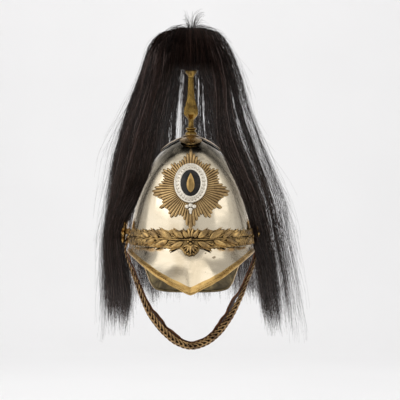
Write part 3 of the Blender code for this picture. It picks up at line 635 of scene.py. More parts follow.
def makeBadge():
    band, profile, height, lift = badge["band"], badge["profile"], badge["height"], badge["lift"]

    def place(column, row):
        across, rise = profile[row % len(profile)]
        x, z = oval(turnOf(column, badge["around"]), across * band)
        return frontSeat(x, z, lift + rise * badge["thick"])

    parts = [weld(newGrid("ovalRing", badge["around"], len(profile), place))]
    for k in range(badge["pellets"]):
        x, z = oval(turnOf(k + 0.5, badge["pellets"]), 0.5 * band)
        clearSelection()
        bpy.ops.mesh.primitive_ico_sphere_add(
            subdivisions=2, radius=badge["pelletSize"],
            location=frontSeat(x, z, lift + badge["pelletRise"] * badge["thick"]))
        parts.append(bpy.context.object)
        bpy.ops.object.transform_apply(location=True, rotation=True, scale=True)
    for name, x, z, radius, rise, tall in badge["tab"]:
        parts.append(button(name, badge["tabSides"], badge["tabProfile"], lambda right, up, out: frontSeat(
            x + radius * right, height + z + radius * tall * up, lift - badge["tabSink"] + out * rise)))
    settle(joined(parts, "ovalStrap"), finishes["silver"], "silver", "oval_strap", angle=50)

    def field(column, row):
        share, rise = badge["field"][row]
        x, z = oval(turnOf(column, badge["fieldSides"]), band + badge["fieldGap"])
        return frontSeat(x * share, height + (z - height) * share, lift + rise)

    disc = weld(newGrid("darkField", badge["fieldSides"], len(badge["field"]) - 1, field))
    settle(disc, finishes["enamel"], "black_enamel", "enamel_disc", angle=40)
    leaf = leafBody("uprightLeaf", 16, 8, badge["leafThick"], 0.35)
    motif = copyOf(leaf, "uprightLeaf", lambda co: frontSeat(
        co.y * 2 * badge["leafHalfWidth"],
        height + (co.x * 2 - 1) * badge["leafHalfHeight"],
        lift + badge["leafLift"] + co.z))
    drop(leaf)
    settle(weld(motif), finishes["motifGilt"], "gilt_brass", "leaf_motif", angle=40)


def leafBody(name, along, across, thick, vein):
    # a flat-backed leaf, 1 long on x and 1 wide on y, pointed at its tip, with a groove down its middle
    def place(column, row):
        t = row / along
        spread = math.sin(math.pi * min(1.0, t**0.85)) ** 0.75 * (1 - 0.25 * t) * 0.5
        side, top = bothFaces(column, across)
        if top:
            bow = math.sqrt(max(0.0, 1 - side**2)) * (1 - vein * math.exp(-((side / 0.22) ** 2)))
            swell = 0.3 + 0.7 * math.sin(math.pi * min(1, t * 0.9 + 0.1))
            return Vector((t, side * spread, thick * bow * swell))
        return Vector((t, side * spread, -0.0002 * (1 - side**2)))

    return newGrid(name, 2 * across, along, place)


makeBadge()
print("badge made")

# leaves across the brow
spray = {"halfAngle": 80, "top": 0.0270, "topEnd": 0.0250, "low": -0.0045, "lowEnd": 0.0020,
         "fanLow": -0.0140,
         "fanHalf": 0.0125, "gap": 0.0009, "backing": 0.0010, "stem": 0.0110, "stemEnd": 0.0140,
         "columns": 120, "across": 6, "inset": 0.0012, "ragged": 0.0007,
         # for the left half: base and tip as arc and height, then width, in millimetres
         "leaves": ((6.0, 13.0, 11.5, 27.5, 8.2), (10.5, 13.5, 29.0, 26.5, 11.2),
                    (28.0, 12.5, 54.5, 26.5, 11.8),
                    (50.0, 13.0, 70.0, 25.8, 9.4), (10.5, 8.0, 33.5, -3.8, 11.0),
                    (34.0, 9.8, 58.5, 0.6, 10.2),
                    (56.0, 11.0, 80.0, 3.6, 9.0), (68.0, 14.0, 88.0, 24.0, 8.0)),
         # each leaf, a narrower one behind it, and a sprig on its other side: blank, shift along and up,
         # turn, share of the length, width (none for the leaf's own), lift and thickness
         "group": (("laurel", 0, 0, 0, 1, None, 0.0012, 0.0030),
                   ("laurel", 0.002, 0.0030, 0.10, 0.86, 0.0052, 0.0002, 0.0019),
                   ("laurel", 0.006, -0.0006, -0.16, 0.84, 0.0040, 0.0002, 0.0017),
                   ("small", 0.010, 0, -0.45, 0.55, 0.0036, 0.0004, 0.0013)),
         "oakFrom": 0.074, "oakInset": 0.011, "oakRows": 9, "oakLength": 0.0125,
         "oakSpread": (62, 24, -24, -62),
         "stemSteps": 60, "fan": (-34, -12, 12, 34), "scallop": (-72, -48, -24, 0, 24, 48, 72), "beads": 8,
         # the knot's nuts: arc, height over the stem, size
         "knot": ((0, 0.0, 0.0026), (-0.0036, -0.0030, 0.0018), (0.0036, -0.0030, 0.0018),
                  (0, -0.0058, 0.0021)),
         "nutProfile": ((0, -0.6), (1, 0), (0.92, 0.45), (0.55, 0.85), (0, 1))}
browSteps = np.linspace(0, math.pi / 2, 181)
browLine = np.array([tuple(shellPoint(float(a), 0.0)) for a in browSteps])
browRun = np.concatenate([[0], np.cumsum(np.linalg.norm(np.diff(browLine, axis=0), axis=1))])
halfArc = float(np.interp(math.radians(spray["halfAngle"]), browSteps, browRun))


def browSeat(arc, z, lift):
    return shellSeat(math.copysign(float(np.interp(abs(arc), browRun, browSteps)), arc), z, lift)


def bandEdges(arc):
    share = min(1.0, abs(arc) / halfArc)
    fan = max(0.0, 1 - (abs(arc) / spray["fanHalf"]) ** 2)
    low = lerp(spray["low"], spray["lowEnd"], share) + (spray["fanLow"] - spray["low"]) * math.sqrt(fan)
    return lerp(spray["top"], spray["topEnd"], share), low


def stemHeight(arc):
    return lerp(spray["stem"], spray["stemEnd"], min(1.0, abs(arc) / halfArc))


def nut(arc, z, radius, lift):
    return button("nut", 8, spray["nutProfile"], lambda right, up, out: browSeat(
        arc + radius * up, z + radius * right, lift + out * radius))


def makeSpray():
    columns, across = spray["columns"], spray["across"]
    base = spray["gap"] + 0.6 * spray["backing"]
    blanks = {"laurel": leafBody("laurelBlank", 12, 8, 1.0, -0.16),
              "small": leafBody("smallBlank", 7, 5, 1.0, 0.45)}

    def ground(column, row):
        arc = (2 * column / columns - 1) * (halfArc - 0.002)
        top, low = bandEdges(arc)
        top -= spray["inset"] + spray["ragged"] * math.sin(column * 1.7)
        low += spray["inset"] + spray["ragged"] * math.sin(column * 2.3)
        turn = row % (2 * (across + 1))
        front = turn <= across
        share = turn / across if front else (2 * (across + 1) - 1 - turn) / across
        return browSeat(arc, lerp(top, low, share), spray["gap"] + (spray["backing"] if front else 0))

    parts = [weld(newGrid("sprayGround", columns, 2 * (across + 1), ground))]

    def leaf(blank, arc, z, angle, length, width, lift, thick):
        ahead, aside = math.cos(angle), math.sin(angle)

        def move(co):
            run, side = co.x * length, co.y * width
            height = co.z * thick if co.z > 0 else 0.0
            return browSeat(arc + run * ahead - side * aside, z + run * aside + side * ahead,
                            base + lift + height + 0.0008 * co.x)

        parts.append(copyOf(blanks[blank], "leaf", move))

    for side in (-1, 1):
        for fromArc, fromZ, toArc, toZ, width in spray["leaves"]:
            run, climb = (toArc - fromArc) / 1000, (toZ - fromZ) / 1000
            length, angle = math.hypot(run, climb), math.atan2(climb, side * run)
            arc, z = side * fromArc / 1000, fromZ / 1000
            up = 1 if climb > 0 else -1
            for blank, ahead, rise, turn, share, narrow, lift, thick in spray["group"]:
                leaf(blank, arc + side * ahead, z + up * rise, angle + side * up * turn, length * share,
                     narrow or width / 1000, lift, thick)
            parts.append(nut(arc + side * run * 0.96, z + climb * 0.45 - up * 0.0015, 0.0017, base + 0.0008))
        for i in range(spray["oakRows"]):  # lobed oak leaves towards the ends
            arc = side * lerp(spray["oakFrom"], halfArc - spray["oakInset"], i / (spray["oakRows"] - 1))
            for k, spread in enumerate(spray["oakSpread"]):
                turn = math.radians(spread + random.uniform(-9, 9))
                angle = turn if side > 0 else math.pi - turn
                length = spray["oakLength"] * random.uniform(0.85, 1.1)
                z = stemHeight(arc) + (0.002 if spread > 0 else -0.001)
                leaf("small", arc, z, angle, length, 0.0062, 0.0006 + 0.0004 * (k % 2), 0.0019)
                middle = 0.45 * length
                for lobe in (-1, 1):
                    leaf("small", arc + middle * math.cos(angle), z + middle * math.sin(angle),
                         angle + lobe * 0.9, 0.0052, 0.0030, 0.0012, 0.0013)
            parts.append(nut(arc + side * 0.004, stemHeight(arc) + random.uniform(-0.005, 0.005),
                             0.0019, base + 0.0022))
        stemRings = []
        for i in range(spray["stemSteps"] + 1):
            t = i / spray["stemSteps"]
            arc = side * lerp(0.0, halfArc - 0.004, t)
            size = lerp(0.0013, 0.0006, t)
            middle = base + size * 1.2 + 0.0006
            stemRings.append([browSeat(arc, stemHeight(arc) + size * math.cos(a), middle + size * math.sin(a))
                              for a in (turnOf(k, 6) for k in range(6))])
        parts.append(loft("stem", stemRings))
    for tilt in spray["fan"]:  # above the knot
        leaf("laurel", 0.011 * math.sin(math.radians(tilt)) * 0.4, spray["stem"] + 0.003,
             math.radians(90 - tilt), 0.0150, 0.0060, 0.0008, 0.0024)
    for tilt in spray["scallop"]:  # below it
        leaf("laurel", 0, spray["stem"] - 0.0075, math.radians(-90 + tilt),
             0.0150 * (1 - abs(tilt) / 420), 0.0056, 0.0012, 0.0022)
    for k in range(spray["beads"] + 1):
        turn = math.radians(-165 + 150 * k / spray["beads"])
        parts.append(nut(0.0110 * math.cos(turn), spray["stem"] - 0.0085 + 0.0135 * math.sin(turn),
                         0.0015, base + 0.0006))
    for x, z, size in spray["knot"]:
        parts.append(nut(x, spray["stem"] + z, size, base + 0.0022))
    for blank in blanks.values():
        drop(blank)
    settle(joined(parts, "leafSpray"), finishes["leafGilt"], "gilt_brass", "laurel_band", angle=45)


makeSpray()
print("leaf spray made")

# four-armed base on the crown
crown = {"arms": (0.0430, 0.0460, 0.0460, 0.0460), "armFrom": 0.0075, "half": 0.0142, "edge": 0.0010,
         "rise": 0.0026, "gap": 0.0012, "along": 18, "across": 16, "boss": 0.0135, "bossHeight": 0.0055,
         "bossSides": 48, "petals": 12,
         # radius as a share of the boss, and height over the skull
         "profile": ((0.0, -0.004), (1.45, -0.0058), (1.42, -0.0035), (1.20, -0.0008), (1.0, 0.0012),
                     (1.02, 0.0024), (0.90, 0.0036), (0.74, 0.0042), (0.73, 0.0055), (0.0, 0.0055))}


def makeArm(turn, reach):
    def place(column, row):
        t = row / crown["along"]
        side, top = bothFaces(column, crown["across"])
        lobes = 1 + 0.10 * abs(math.sin(math.pi * 3.5 * t)) * abs(side) ** 3
        swell = 0.62 + 0.5 * math.sin(math.pi * min(1, t * 1.02) * 0.85)
        sideways = side * crown["half"] * swell * math.sqrt(max(0, 1 - t**5)) * lobes
        out = lerp(crown["armFrom"], reach, t)
        lift = crown["gap"]
        if top:
            veins = 0.30 * math.cos(side * math.pi * 4) * (1 - abs(side) ** 4) * min(1.0, 4 * (1 - t))
            rim = math.exp(-(((1 - abs(side)) / 0.10) ** 2)) * 0.5
            relief = max(0.05, 0.5 * (1 - side**2) + 0.25 * veins + 0.55 * rim)
            lift += crown["edge"] + crown["rise"] * relief * (0.55 + 0.45 * (1 - t))
        return crownSeat(out * math.sin(turn) + sideways * math.cos(turn),
                         -out * math.cos(turn) + sideways * math.sin(turn), lift)

    return weld(newGrid("arm", 2 * crown["across"], crown["along"], place))


def makeCrown():
    def boss(column, row):
        angle = turnOf(column, crown["bossSides"])
        radius, rise = crown["profile"][row]
        petal = 0.03 * math.cos(crown["petals"] * angle) * (1 if 1 <= row <= 4 else 0)
        radius *= crown["boss"] * (1 + petal)
        return Vector((radius * math.sin(angle), radius * math.cos(angle), shell["height"] + rise))

    parts = [makeArm(math.pi / 2 * k, reach) for k, reach in enumerate(crown["arms"])]
    parts.append(weld(newGrid("boss", crown["bossSides"], len(crown["profile"]) - 1, boss)))
    settle(joined(parts, "crownBase"), finishes["leafGilt"], "gilt_brass", "cross_base", angle=45)


makeCrown()
print("crown base made")

# plume holder, turned below and eight-sided above
holder = {"height": 0.1010, "radius": 0.0118, "gap": 0.0003, "sides": 48, "leastFlat": 0.925,
          "widerFlats": 1.03,
          # height and radius as shares, and how flat the sides are
          "profile": ((0.000, 0.800, 0), (0.022, 0.815, 0), (0.034, 0.70, 0), (0.045, 0.560, 0),
                      (0.060, 0.57, 0),
                      (0.070, 0.660, 0), (0.080, 0.720, 0), (0.092, 0.735, 0), (0.102, 0.690, 0),
                      (0.110, 0.50, 0), (0.118, 0.425, 0), (0.160, 0.390, 0), (0.205, 0.405, 0),
                      (0.235, 0.450, 0.3), (0.262, 0.640, 1), (0.285, 0.835, 1), (0.305, 0.940, 1),
                      (0.330, 0.990, 1), (0.350, 1.000, 1), (0.385, 0.965, 1), (0.420, 0.880, 1),
                      (0.470, 0.740, 1), (0.520, 0.610, 1), (0.570, 0.520, 1), (0.620, 0.470, 1),
                      (0.700, 0.430, 1), (0.780, 0.400, 1), (0.860, 0.375, 1), (0.890, 0.370, 1),
                      (0.905, 0.410, 0.6), (0.925, 0.520, 0.2), (0.945, 0.660, 0), (0.965, 0.780, 0),
                      (0.980, 0.835, 0), (1.000, 0.830, 0))}


def makeHolder():
    foot = shell["height"] + crown["bossHeight"] + holder["gap"]
    rings = []
    for height, radius, flats in holder["profile"]:
        ring = []
        for i in range(holder["sides"]):
            turn = turnOf(i, holder["sides"])
            fromFlat = (turn + math.pi / 8) % (math.pi / 4) - math.pi / 8
            flat = max(math.cos(math.pi / 8) / math.cos(fromFlat), holder["leastFlat"])
            reach = (holder["radius"] * radius * lerp(1.0, flat, flats)
                     * lerp(1.0, holder["widerFlats"], flats))
            ring.append(Vector((reach * math.sin(turn), -reach * math.cos(turn),
                                foot + height * holder["height"])))
        rings.append(ring)
    settle(loft("plumeHolder", rings), finishes["spikeBrass"], "gilt_brass", "plume_spike", angle=14)


makeHolder()
print("plume holder made")

# ear rosettes: two rings of cupped petals round a button
rosette = {"radius": 0.0225, "height": 0.0205, "standOff": 0.0068, "stud": 0.0048, "gap": 0.0003,
           "studIn": 0.001, "along": 9, "across": 8,
           # radius, and height over the stand-off
           "plate": ((0, 0), (0.0165, 0.0002), (0.0185, 0.0009), (0.0165, 0.0018), (0, 0.0018)),
           "button": ((0, 0.004), (0.0050, 0.004), (0.0053, 0.0062), (0.0042, 0.0078), (0.0020, 0.0085),
                      (0, 0.0086)),
           # petals: how many, inner and outer radius, lift, cup, and turn as a share of one petal
           "petals": ((10, 0.0065, 0.0225, 0.0010, 0.0036, 0.0), (8, 0.0030, 0.0145, 0.0030, 0.0040, 0.5))}


def rosetteFrame(side):
    angle = math.pi / 2 * side
    outward = shellNormal(angle, rosette["height"])
    forward = Vector((0, -1, 0))
    return shellPoint(angle, rosette["height"]), outward, forward, forward.cross(outward) * side


def makeRosette(name, side, node):
    middle, outward, forward, up = rosetteFrame(side)
    base = rosette["standOff"]

    def seat(radius, angle, lift):
        return middle + outward * lift + (forward * math.sin(angle) + up * math.cos(angle)) * radius

    def turned(label, profile, sides=32):
        return loft(label, [[seat(max(radius, 0.00002), turnOf(k, sides), lift) for k in range(sides)]
                            for radius, lift in profile])

    def petal(centre, count, inner, outer, lift, cup):
        def place(column, row):
            t = row / rosette["along"]
            aside, top = bothFaces(column, rosette["across"])
            half = 1.06 * math.pi * outer / count * math.sin(math.pi * min(1, 0.16 + 0.80 * t)) ** 0.6
            radius = lerp(inner, outer, t) - 0.10 * outer * (aside**2) * t
            rise = cup * (0.25 + 0.75 * t**1.3) * (0.50 + 0.50 * aside**2)
            rise -= 0.0010 * math.exp(-((aside / 0.2) ** 2)) * (1 - t)
            rise += 0.0007 if top else -0.0003
            return seat(radius, centre + aside * half / max(radius, 0.004), lift + rise)

        return weld(newGrid("petal", 2 * rosette["across"], rosette["along"], place))

    stud, low, high = rosette["stud"], rosette["gap"], base + rosette["studIn"]
    parts = [turned("stud", ((0, low), (stud, low), (stud, high), (0, high)))]
    for label, sides in (("plate", 32), ("button", 24)):
        parts.append(turned(label, [(radius, base + lift) for radius, lift in rosette[label]], sides))
    for count, inner, outer, lift, cup, shift in rosette["petals"]:
        for k in range(count):
            parts.append(petal(turnOf(k + shift, count), count, inner, outer, base + lift, cup))
    settle(joined(parts, name), finishes["edging"], "gilt_brass", node, angle=50)


makeRosette("rosetteLeft", -1, "rosette_left")
makeRosette("rosetteRight", 1, "rosette_right")
print("rosettes made")

# chin chain: small rings lapped in two rows over a strip of leather; the route repeats the solid's
chain = {"width": 0.0190, "endWidth": 0.0130, "thick": 0.0040, "tilt": 35, "pitch": 0.0076,
         "ringWire": 0.0012, "leather": 0.0022, "leatherShare": 0.92, "leatherGap": 0.0003,
         "left": ((0.1020, 0.0030), (0.1036, -0.0120), (0.0985, -0.0280), (0.0925, -0.0430),
                  (0.0862, -0.0590),
                  (0.0800, -0.0760), (0.0735, -0.0920), (0.0655, -0.1080), (0.0550, -0.1230),
                  (0.0410, -0.1385),
                  (0.0225, -0.1530), (0.0000, -0.1600)),
         "right": ((0.1020, 0.0030), (0.1040, -0.0120), (0.0995, -0.0280), (0.0940, -0.0430),
                   (0.0875, -0.0590),
                   (0.0810, -0.0760), (0.0735, -0.0920), (0.0655, -0.1075), (0.0555, -0.1230),
                   (0.0430, -0.1385), (0.0235, -0.1535), (0.0000, -0.1600)),
         # place along, how far the leather stands off as a share of the width, and the stretch it takes
         "bulges": ((0.335, 0.20, 0.060), (0.420, 0.16, 0.030), (0.640, 0.16, 0.040), (0.725, 0.26, 0.055)),
         # the links' slant in the plait and lean out of it in degrees, place across, and half sizes as
         # shares of the chain's half width
         "spin": -38, "lean": 16, "row": 0.46, "link": (0.66, 0.42, 0.50), "linkLift": 0.0008,
         "linkWire": 0.27,
         "bodySteps": 220, "bodyShare": 0.86, "leatherSteps": 190, "leatherStart": 5 / 88,
         # sections as shares of the half width and of the thickness
         "body": ((-1, -0.1), (-0.9, 0.08), (-0.4, 0.16), (0, 0.05), (0.4, 0.16), (0.9, 0.08), (1, -0.1),
                  (0.9, -0.38), (0.4, -0.46), (-0.4, -0.46), (-0.9, -0.38)),
         "strip": ((-1, 0.3), (-0.93, 0.04), (-0.5, 0.0), (0, 0.06), (0.5, 0.0), (0.93, 0.04), (1, 0.3),
                   (1, 0.7),
                   (0.93, 0.96), (0.5, 1), (0, 1.06), (-0.5, 1), (-0.93, 0.96), (-1, 0.7))}


def endRing(side):
    middle, outward, forward, up = rosetteFrame(side)
    centre = middle + outward * (0.5 * rosette["standOff"])
    return centre, outward, up, rosette["stud"] + 2 * rosette["gap"] + chain["ringWire"]


def chainRoute():
    ends = []
    for side in (-1, 1):
        centre, outward, up, radius = endRing(side)
        ends.append(centre - up * radius)
    left = [Vector((-out, 0, height)) for out, height in chain["left"]]
    right = [Vector((out, 0, height)) for out, height in reversed(chain["right"][:-1])]
    knots = [ends[0]] + left + right + [ends[1]]
    return [curveThrough(knots, i, k / 8) for i in range(len(knots) - 1) for k in range(8)] + [knots[-1]]


chainPoints = chainRoute()
chainRun = [0.0]
for near, far in zip(chainPoints, chainPoints[1:]):
    chainRun.append(chainRun[-1] + (far - near).length)


def chainAt(share):  # point, direction, across and outward face of the chain
    last = len(chainPoints) - 1
    goal = chainRun[-1] * min(1.0, max(0.0, share))
    k = max(j for j in range(last) if chainRun[j] <= goal + 1e-9)
    t = (goal - chainRun[k]) / (chainRun[k + 1] - chainRun[k])
    near = chainPoints[max(k - 1, 0)].lerp(chainPoints[k], t)
    far = chainPoints[min(k + 1, last)].lerp(chainPoints[min(k + 2, last)], t)
    along = (far - near).normalized()
    back = Vector((0, 1, 0))
    outward = back.cross(along).normalized()
    tilt = math.radians(chain["tilt"]) * ease(2.2 * (0.5 - abs(share - 0.5)))
    face = outward * math.cos(tilt) - back * math.sin(tilt)
    across = back * math.cos(tilt) + outward * math.sin(tilt)
    return chainPoints[k].lerp(chainPoints[k + 1], t), along, across, face


def chainHalf(share):
    return 0.5 * lerp(chain["endWidth"], chain["width"], ease(2 * (0.5 - abs(share - 0.5)) * 1.6))


def makeLink(blank, share, row):
    point, along, across, face = chainAt(share)
    spin, lean, half = math.radians(chain["spin"]) * row, math.radians(chain["lean"]), chainHalf(share)
    lengthwise = along * math.cos(spin) + across * math.sin(spin)
    sideways = across * math.cos(spin) - along * math.sin(spin)
    tipped = lengthwise * math.cos(lean) + face * math.sin(lean)
    normal = tipped.cross(sideways).normalized()
    if normal.dot(face) < 0:
        normal = -normal
    centre = point + across * row * half * chain["row"] + face * chain["linkLift"]
    centre += along * chain["pitch"] * 0.25 * row
    long, wide, deep = (half * share for share in chain["link"])
    return copyOf(blank, "link", lambda co: centre + tipped * co.x * long + sideways * co.y * wide
                  + normal * co.z * deep)


def makeEndRing(blank, side):
    centre, outward, up, radius = endRing(side)
    forward = outward.cross(up)

    def turn(co):
        flat = Vector((co.x, co.y, 0))
        ringPart = flat.normalized()
        reach = radius + (flat.length - 1) / chain["linkWire"] * chain["ringWire"]
        lift = outward * co.z / chain["linkWire"] * chain["ringWire"]
        return centre + (up * ringPart.x + forward * ringPart.y) * reach + lift

    return copyOf(blank, "endRing", turn)


def makeChain():
    clearSelection()
    bpy.ops.mesh.primitive_torus_add(major_segments=16, minor_segments=6, major_radius=1.0,
                                     minor_radius=chain["linkWire"])
    blank = bpy.context.object
    # the dark body of the plait, seen between the links
    rings = []
    for i in range(chain["bodySteps"] + 1):
        point, along, across, face = chainAt(i / chain["bodySteps"])
        half = chainHalf(i / chain["bodySteps"]) * chain["bodyShare"]
        rings.append([point + across * side * half + face * rise * chain["thick"]
                      for side, rise in chain["body"]])
    parts = [loft("plaitBody", rings)]
    count = round(chainRun[-1] / chain["pitch"])
    parts += [makeLink(blank, (i + 0.5) / count, row) for i in range(count) for row in (-1, 1)]
    parts += [makeEndRing(blank, side) for side in (-1, 1)]
    drop(blank)
    links = weld(joined(parts, "chinChainLinks"), 0.0000001, capHoles=False)
    settle(links, finishes["chainBrass"], "gilt_brass", "chin_chain", angle=60)


def makeLeather():
    rings = []
    for i in range(chain["leatherSteps"] + 1):
        share = lerp(chain["leatherStart"], 1 - chain["leatherStart"], i / chain["leatherSteps"])
        point, along, across, face = chainAt(share)
        standOff = sum(size * chain["width"] * math.exp(-(((share - middle) / stretch) ** 2))
                       for middle, size, stretch in chain["bulges"])
        wobble = 0.0005 * math.sin(share * 61) + 0.0004 * math.sin(share * 143 + 1)
        half = chainHalf(share) * chain["leatherShare"] * (1 + 0.04 * math.sin(share * 97))
        outer = (0.5 * chain["thick"] + chain["leatherGap"] + standOff
                 + wobble * (1 if standOff > 0.001 else 0.2))
        rings.append([point + across * side * half - face * (outer + deep * chain["leather"])
                      for side, deep in chain["strip"]])
    settle(loft("chinLeather", rings), finishes["leather"], "brown_leather", "chin_leather", angle=50)


makeChain()
makeLeather()
print("chain and leather made")

# horsehair: fine strands tied on the holder's cup; the side falls follow the solid's sections
plume = {
    "halfWidth": 0.1565, "points": 12, "radius": 0.00017, "tipRadius": 0.00007,
    "strands": 8600, "crownHair": 950, "fringe": 1150, "flyaways": 700, "tuft": 300,
    # height in metres, then width, shift, front and back as shares of halfWidth, and the opening's
    # edge in degrees to the right and to the left
    "sections": (
        (0.3290, 0.030, 0.000, 0.030, 0.030, 30, 30),
        (0.3370, 0.080, 0.000, 0.075, 0.080, 30, 30),
        (0.3405, 0.140, 0.000, 0.125, 0.140, 30, 30),
        (0.3400, 0.205, 0.000, 0.180, 0.205, 30, 30),
        (0.3345, 0.304, -0.012, 0.240, 0.300, 30, 30),
        (0.3225, 0.378, -0.020, 0.290, 0.370, 30, 30),
        (0.3065, 0.430, -0.018, 0.330, 0.422, 31, 30),
        (0.2900, 0.465, -0.010, 0.345, 0.462, 32, 29),
        (0.2780, 0.491, -0.006, 0.345, 0.491, 33, 28),
        (0.2500, 0.545, -0.010, 0.320, 0.560, 33, 29),
        (0.2200, 0.600, -0.025, 0.310, 0.620, 31, 28),
        (0.1860, 0.672, -0.023, 0.330, 0.700, 27, 29),
        (0.1510, 0.745, -0.013, 0.360, 0.780, 27, 33),
        (0.1120, 0.815, 0.016, 0.390, 0.870, 33, 36),
        (0.0670, 0.886, 0.048, 0.340, 0.960, 36, 46),
        (0.0450, 0.903, 0.054, 0.240, 1.010, 37, 58),
        (0.0300, 0.918, 0.057, 0.150, 1.040, 38, 65),
        (0.0050, 0.938, 0.060, 0.120, 1.080, 41, 65),
        (-0.0300, 0.966, 0.079, 0.130, 1.135, 42, 57),
        (-0.0600, 0.982, 0.092, 0.160, 1.170, 42, 51),
        (-0.1080, 1.005, 0.110, 0.220, 1.230, 42, 50),
        (-0.1300, 1.010, 0.115, 0.220, 1.245, 45, 52),
        (-0.1500, 1.012, 0.118, 0.220, 1.250, 45, 53)),
    # angle from the front, and how much hair there is to the right and to the left
    "thickness": (
        (28, 0.9, 1.0), (36, 0.85, 1.1), (44, 0.42, 0.9), (51, 0.10, 0.55), (60, 0.038, 0.34),
        (78, 0.042, 0.22),
        (92, 0.048, 0.145), (105, 0.040, 0.12), (118, 0.040, 0.12), (130, 0.080, 0.18), (141, 0.26, 0.46),
        (148, 0.58, 0.72), (155, 0.34, 0.38), (162, 0.20, 0.20), (166, 0.18, 0.20), (168, 0.05, 0.16),
        (170, 0.12, 0.04), (172, 0.19, 0.10), (174, 0.20, 0.20), (180, 0.21, 0.21)),
    "openEdge": 29.5,
}
draw = np.random.default_rng(11)
down = np.linspace(0, 1, plume["points"])[None, :]  # from a strand's root to its tip
sectionRows = np.array(plume["sections"])
sectionRun = np.concatenate([[0], np.cumsum(np.hypot(
    np.diff(sectionRows[:, 0]), np.diff(sectionRows[:, 1]) * plume["halfWidth"]))])


def sectionAt(run):
    return [np.interp(run, sectionRun, column) for column in sectionRows.T]


def runTo(z):  # the way down to a height below the crown
    return np.interp(-np.asarray(z), -sectionRows[3:, 0], sectionRun[3:])


def hairPoints(run, angle, out):
    # angle in radians from the front, right is positive; out is how far a strand stands off in metres
    z, width, shift, front, back, rightEdge, leftEdge = sectionAt(run)
    quarter = np.pi / 2
    edge = np.radians(np.where(angle > 0, rightEdge, leftEdge))
    side = np.abs(angle)
    # the falls close up towards their front edges where the opening widens
    closing = (quarter - edge) / (quarter - np.radians(plume["openEdge"]))
    side = np.where(side < quarter, quarter - (quarter - side) * closing, side)
    reach = np.where(side < quarter, front, back)
    signed = np.sign(angle) * side
    x = (shift + width * np.sin(signed)) * plume["halfWidth"] + out * np.sin(signed)
    y = -reach * np.cos(signed) * plume["halfWidth"] - out * np.cos(signed)
    return np.stack([x, y, z + np.minimum(out, 0) * np.clip((z - 0.24) / 0.08, 0, 1)], axis=-1)


def addHair(name, lines, radii, tonesAndSheen):
    # each line is a row of points; every strand becomes a three-sided tube closed at both ends
    count, points = lines.shape[:2]
    along = np.gradient(lines, axis=1)
    along /= np.linalg.norm(along, axis=2, keepdims=True) + 1e-12
    helper = np.where(np.abs(along[..., 2:3]) > 0.9, np.array([1.0, 0, 0]), np.array([0, 0, 1.0]))
    sideA = np.cross(along, helper)
    sideA /= np.linalg.norm(sideA, axis=2, keepdims=True) + 1e-12
    sideB = np.cross(along, sideA)
    rings = [lines + (sideA * np.cos(turn) + sideB * np.sin(turn)) * radii[..., None]
             for turn in (turnOf(k, 3) for k in range(3))]
    corners = np.stack(rings, axis=2).reshape(-1, 3)
    base = (np.arange(count) * points * 3)[:, None]
    step = (np.arange(points - 1) * 3)[None, :, None, None]
    quad = np.array([[0, 1, 4, 3], [1, 2, 5, 4], [2, 0, 3, 5]])[None, None]
    quads = (base[..., None, None] + step + quad).reshape(-1, 4)
    caps = np.concatenate([base + np.array([[2, 1, 0]]), base + (points - 1) * 3 + np.array([[0, 1, 2]])])
    mesh = bpy.data.meshes.new(name)
    mesh.vertices.add(len(corners))
    mesh.vertices.foreach_set("co", corners.ravel())
    loops = np.concatenate([quads.ravel(), caps.ravel()])
    mesh.loops.add(len(loops))
    mesh.loops.foreach_set("vertex_index", loops.astype(np.int32))
    starts = np.concatenate([np.arange(len(quads)) * 4, len(quads) * 4 + np.arange(len(caps)) * 3])
    mesh.polygons.add(len(starts))
    mesh.polygons.foreach_set("loop_start", starts.astype(np.int32))
    mesh.update(calc_edges=True)
    mesh.validate()
    shade = mesh.attributes.new("strandToneAndSheen", "FLOAT", "POINT")
    shade.data.foreach_set("value", np.repeat(tonesAndSheen, points * 3).astype(np.float32))
    mesh.shade_smooth()
    piece = newObject(name, mesh)
    settle(piece, finishes["hair"], "horsehair", "plume")
    return piece


def drawAngles(count):  # angles spread by the thickness table, negative to the left
    at, right, left = np.array(plume["thickness"]).T
    fine = np.linspace(at[0], 180, 400)
    weights = np.concatenate([np.interp(fine, at, right), np.interp(fine, at, left)])
    picks = draw.choice(len(weights), size=count, p=weights / weights.sum())
    angle = fine[picks % len(fine)] + draw.uniform(-0.2, 0.2, count)
    return np.radians(angle) * np.where(picks < len(fine), 1, -1)


def eitherSide(low, high, count):  # angles between two limits in degrees, on either side
    return np.radians(draw.uniform(low, high, count)) * np.where(draw.random(count) < 0.5, 1, -1)


def frizz(count, size):  # small bends that make a strand cross the next ones
    kinks = draw.normal(0, size, (count, plume["points"], 3))
    kinks[:, 0] = 0
    kinks[:, 1:-1] = 0.25 * kinks[:, :-2] + 0.5 * kinks[:, 1:-1] + 0.25 * kinks[:, 2:]
    return kinks * np.array([1, 1, 0.3])


def taper(low, high, count):
    return (plume["radius"] * draw.uniform(low, high, (count, 1)) * (1 - down**3)
            + plume["tipRadius"] * down**3)


# the falls gather in thin locks, each with its own tone and length; lengths in metres
falls = {"locks": 210, "lockSway": 0.0016, "lockOut": (-0.010, 0.003), "lockHem": 0.008,
         "behind": 128, "hemBehind": -0.086, "hemRight": -0.104, "hemLeft": -0.093,
         "raggedBehind": 0.007, "ragged": 0.017, "lowest": -0.142, "highest": 0.2, "begin": 0.020,
         "gathered": 0.72, "pull": (0.93, 0.25), "pullBehind": 0.42, "leastAngle": 26,
         "thinFrom": 0.85, "thinTo": 2.3, "thinDepth": 0.042, "depth": 0.013,
         "halo": 0.20, "haloOut": 0.0050, "haloMost": 0.014, "wave": (0.0003, 0.0026), "frizz": 0.0010,
         "frizzBehind": 1.6, "paintedShineShare": 0.11, "pieces": 6, "mirrored": 130}


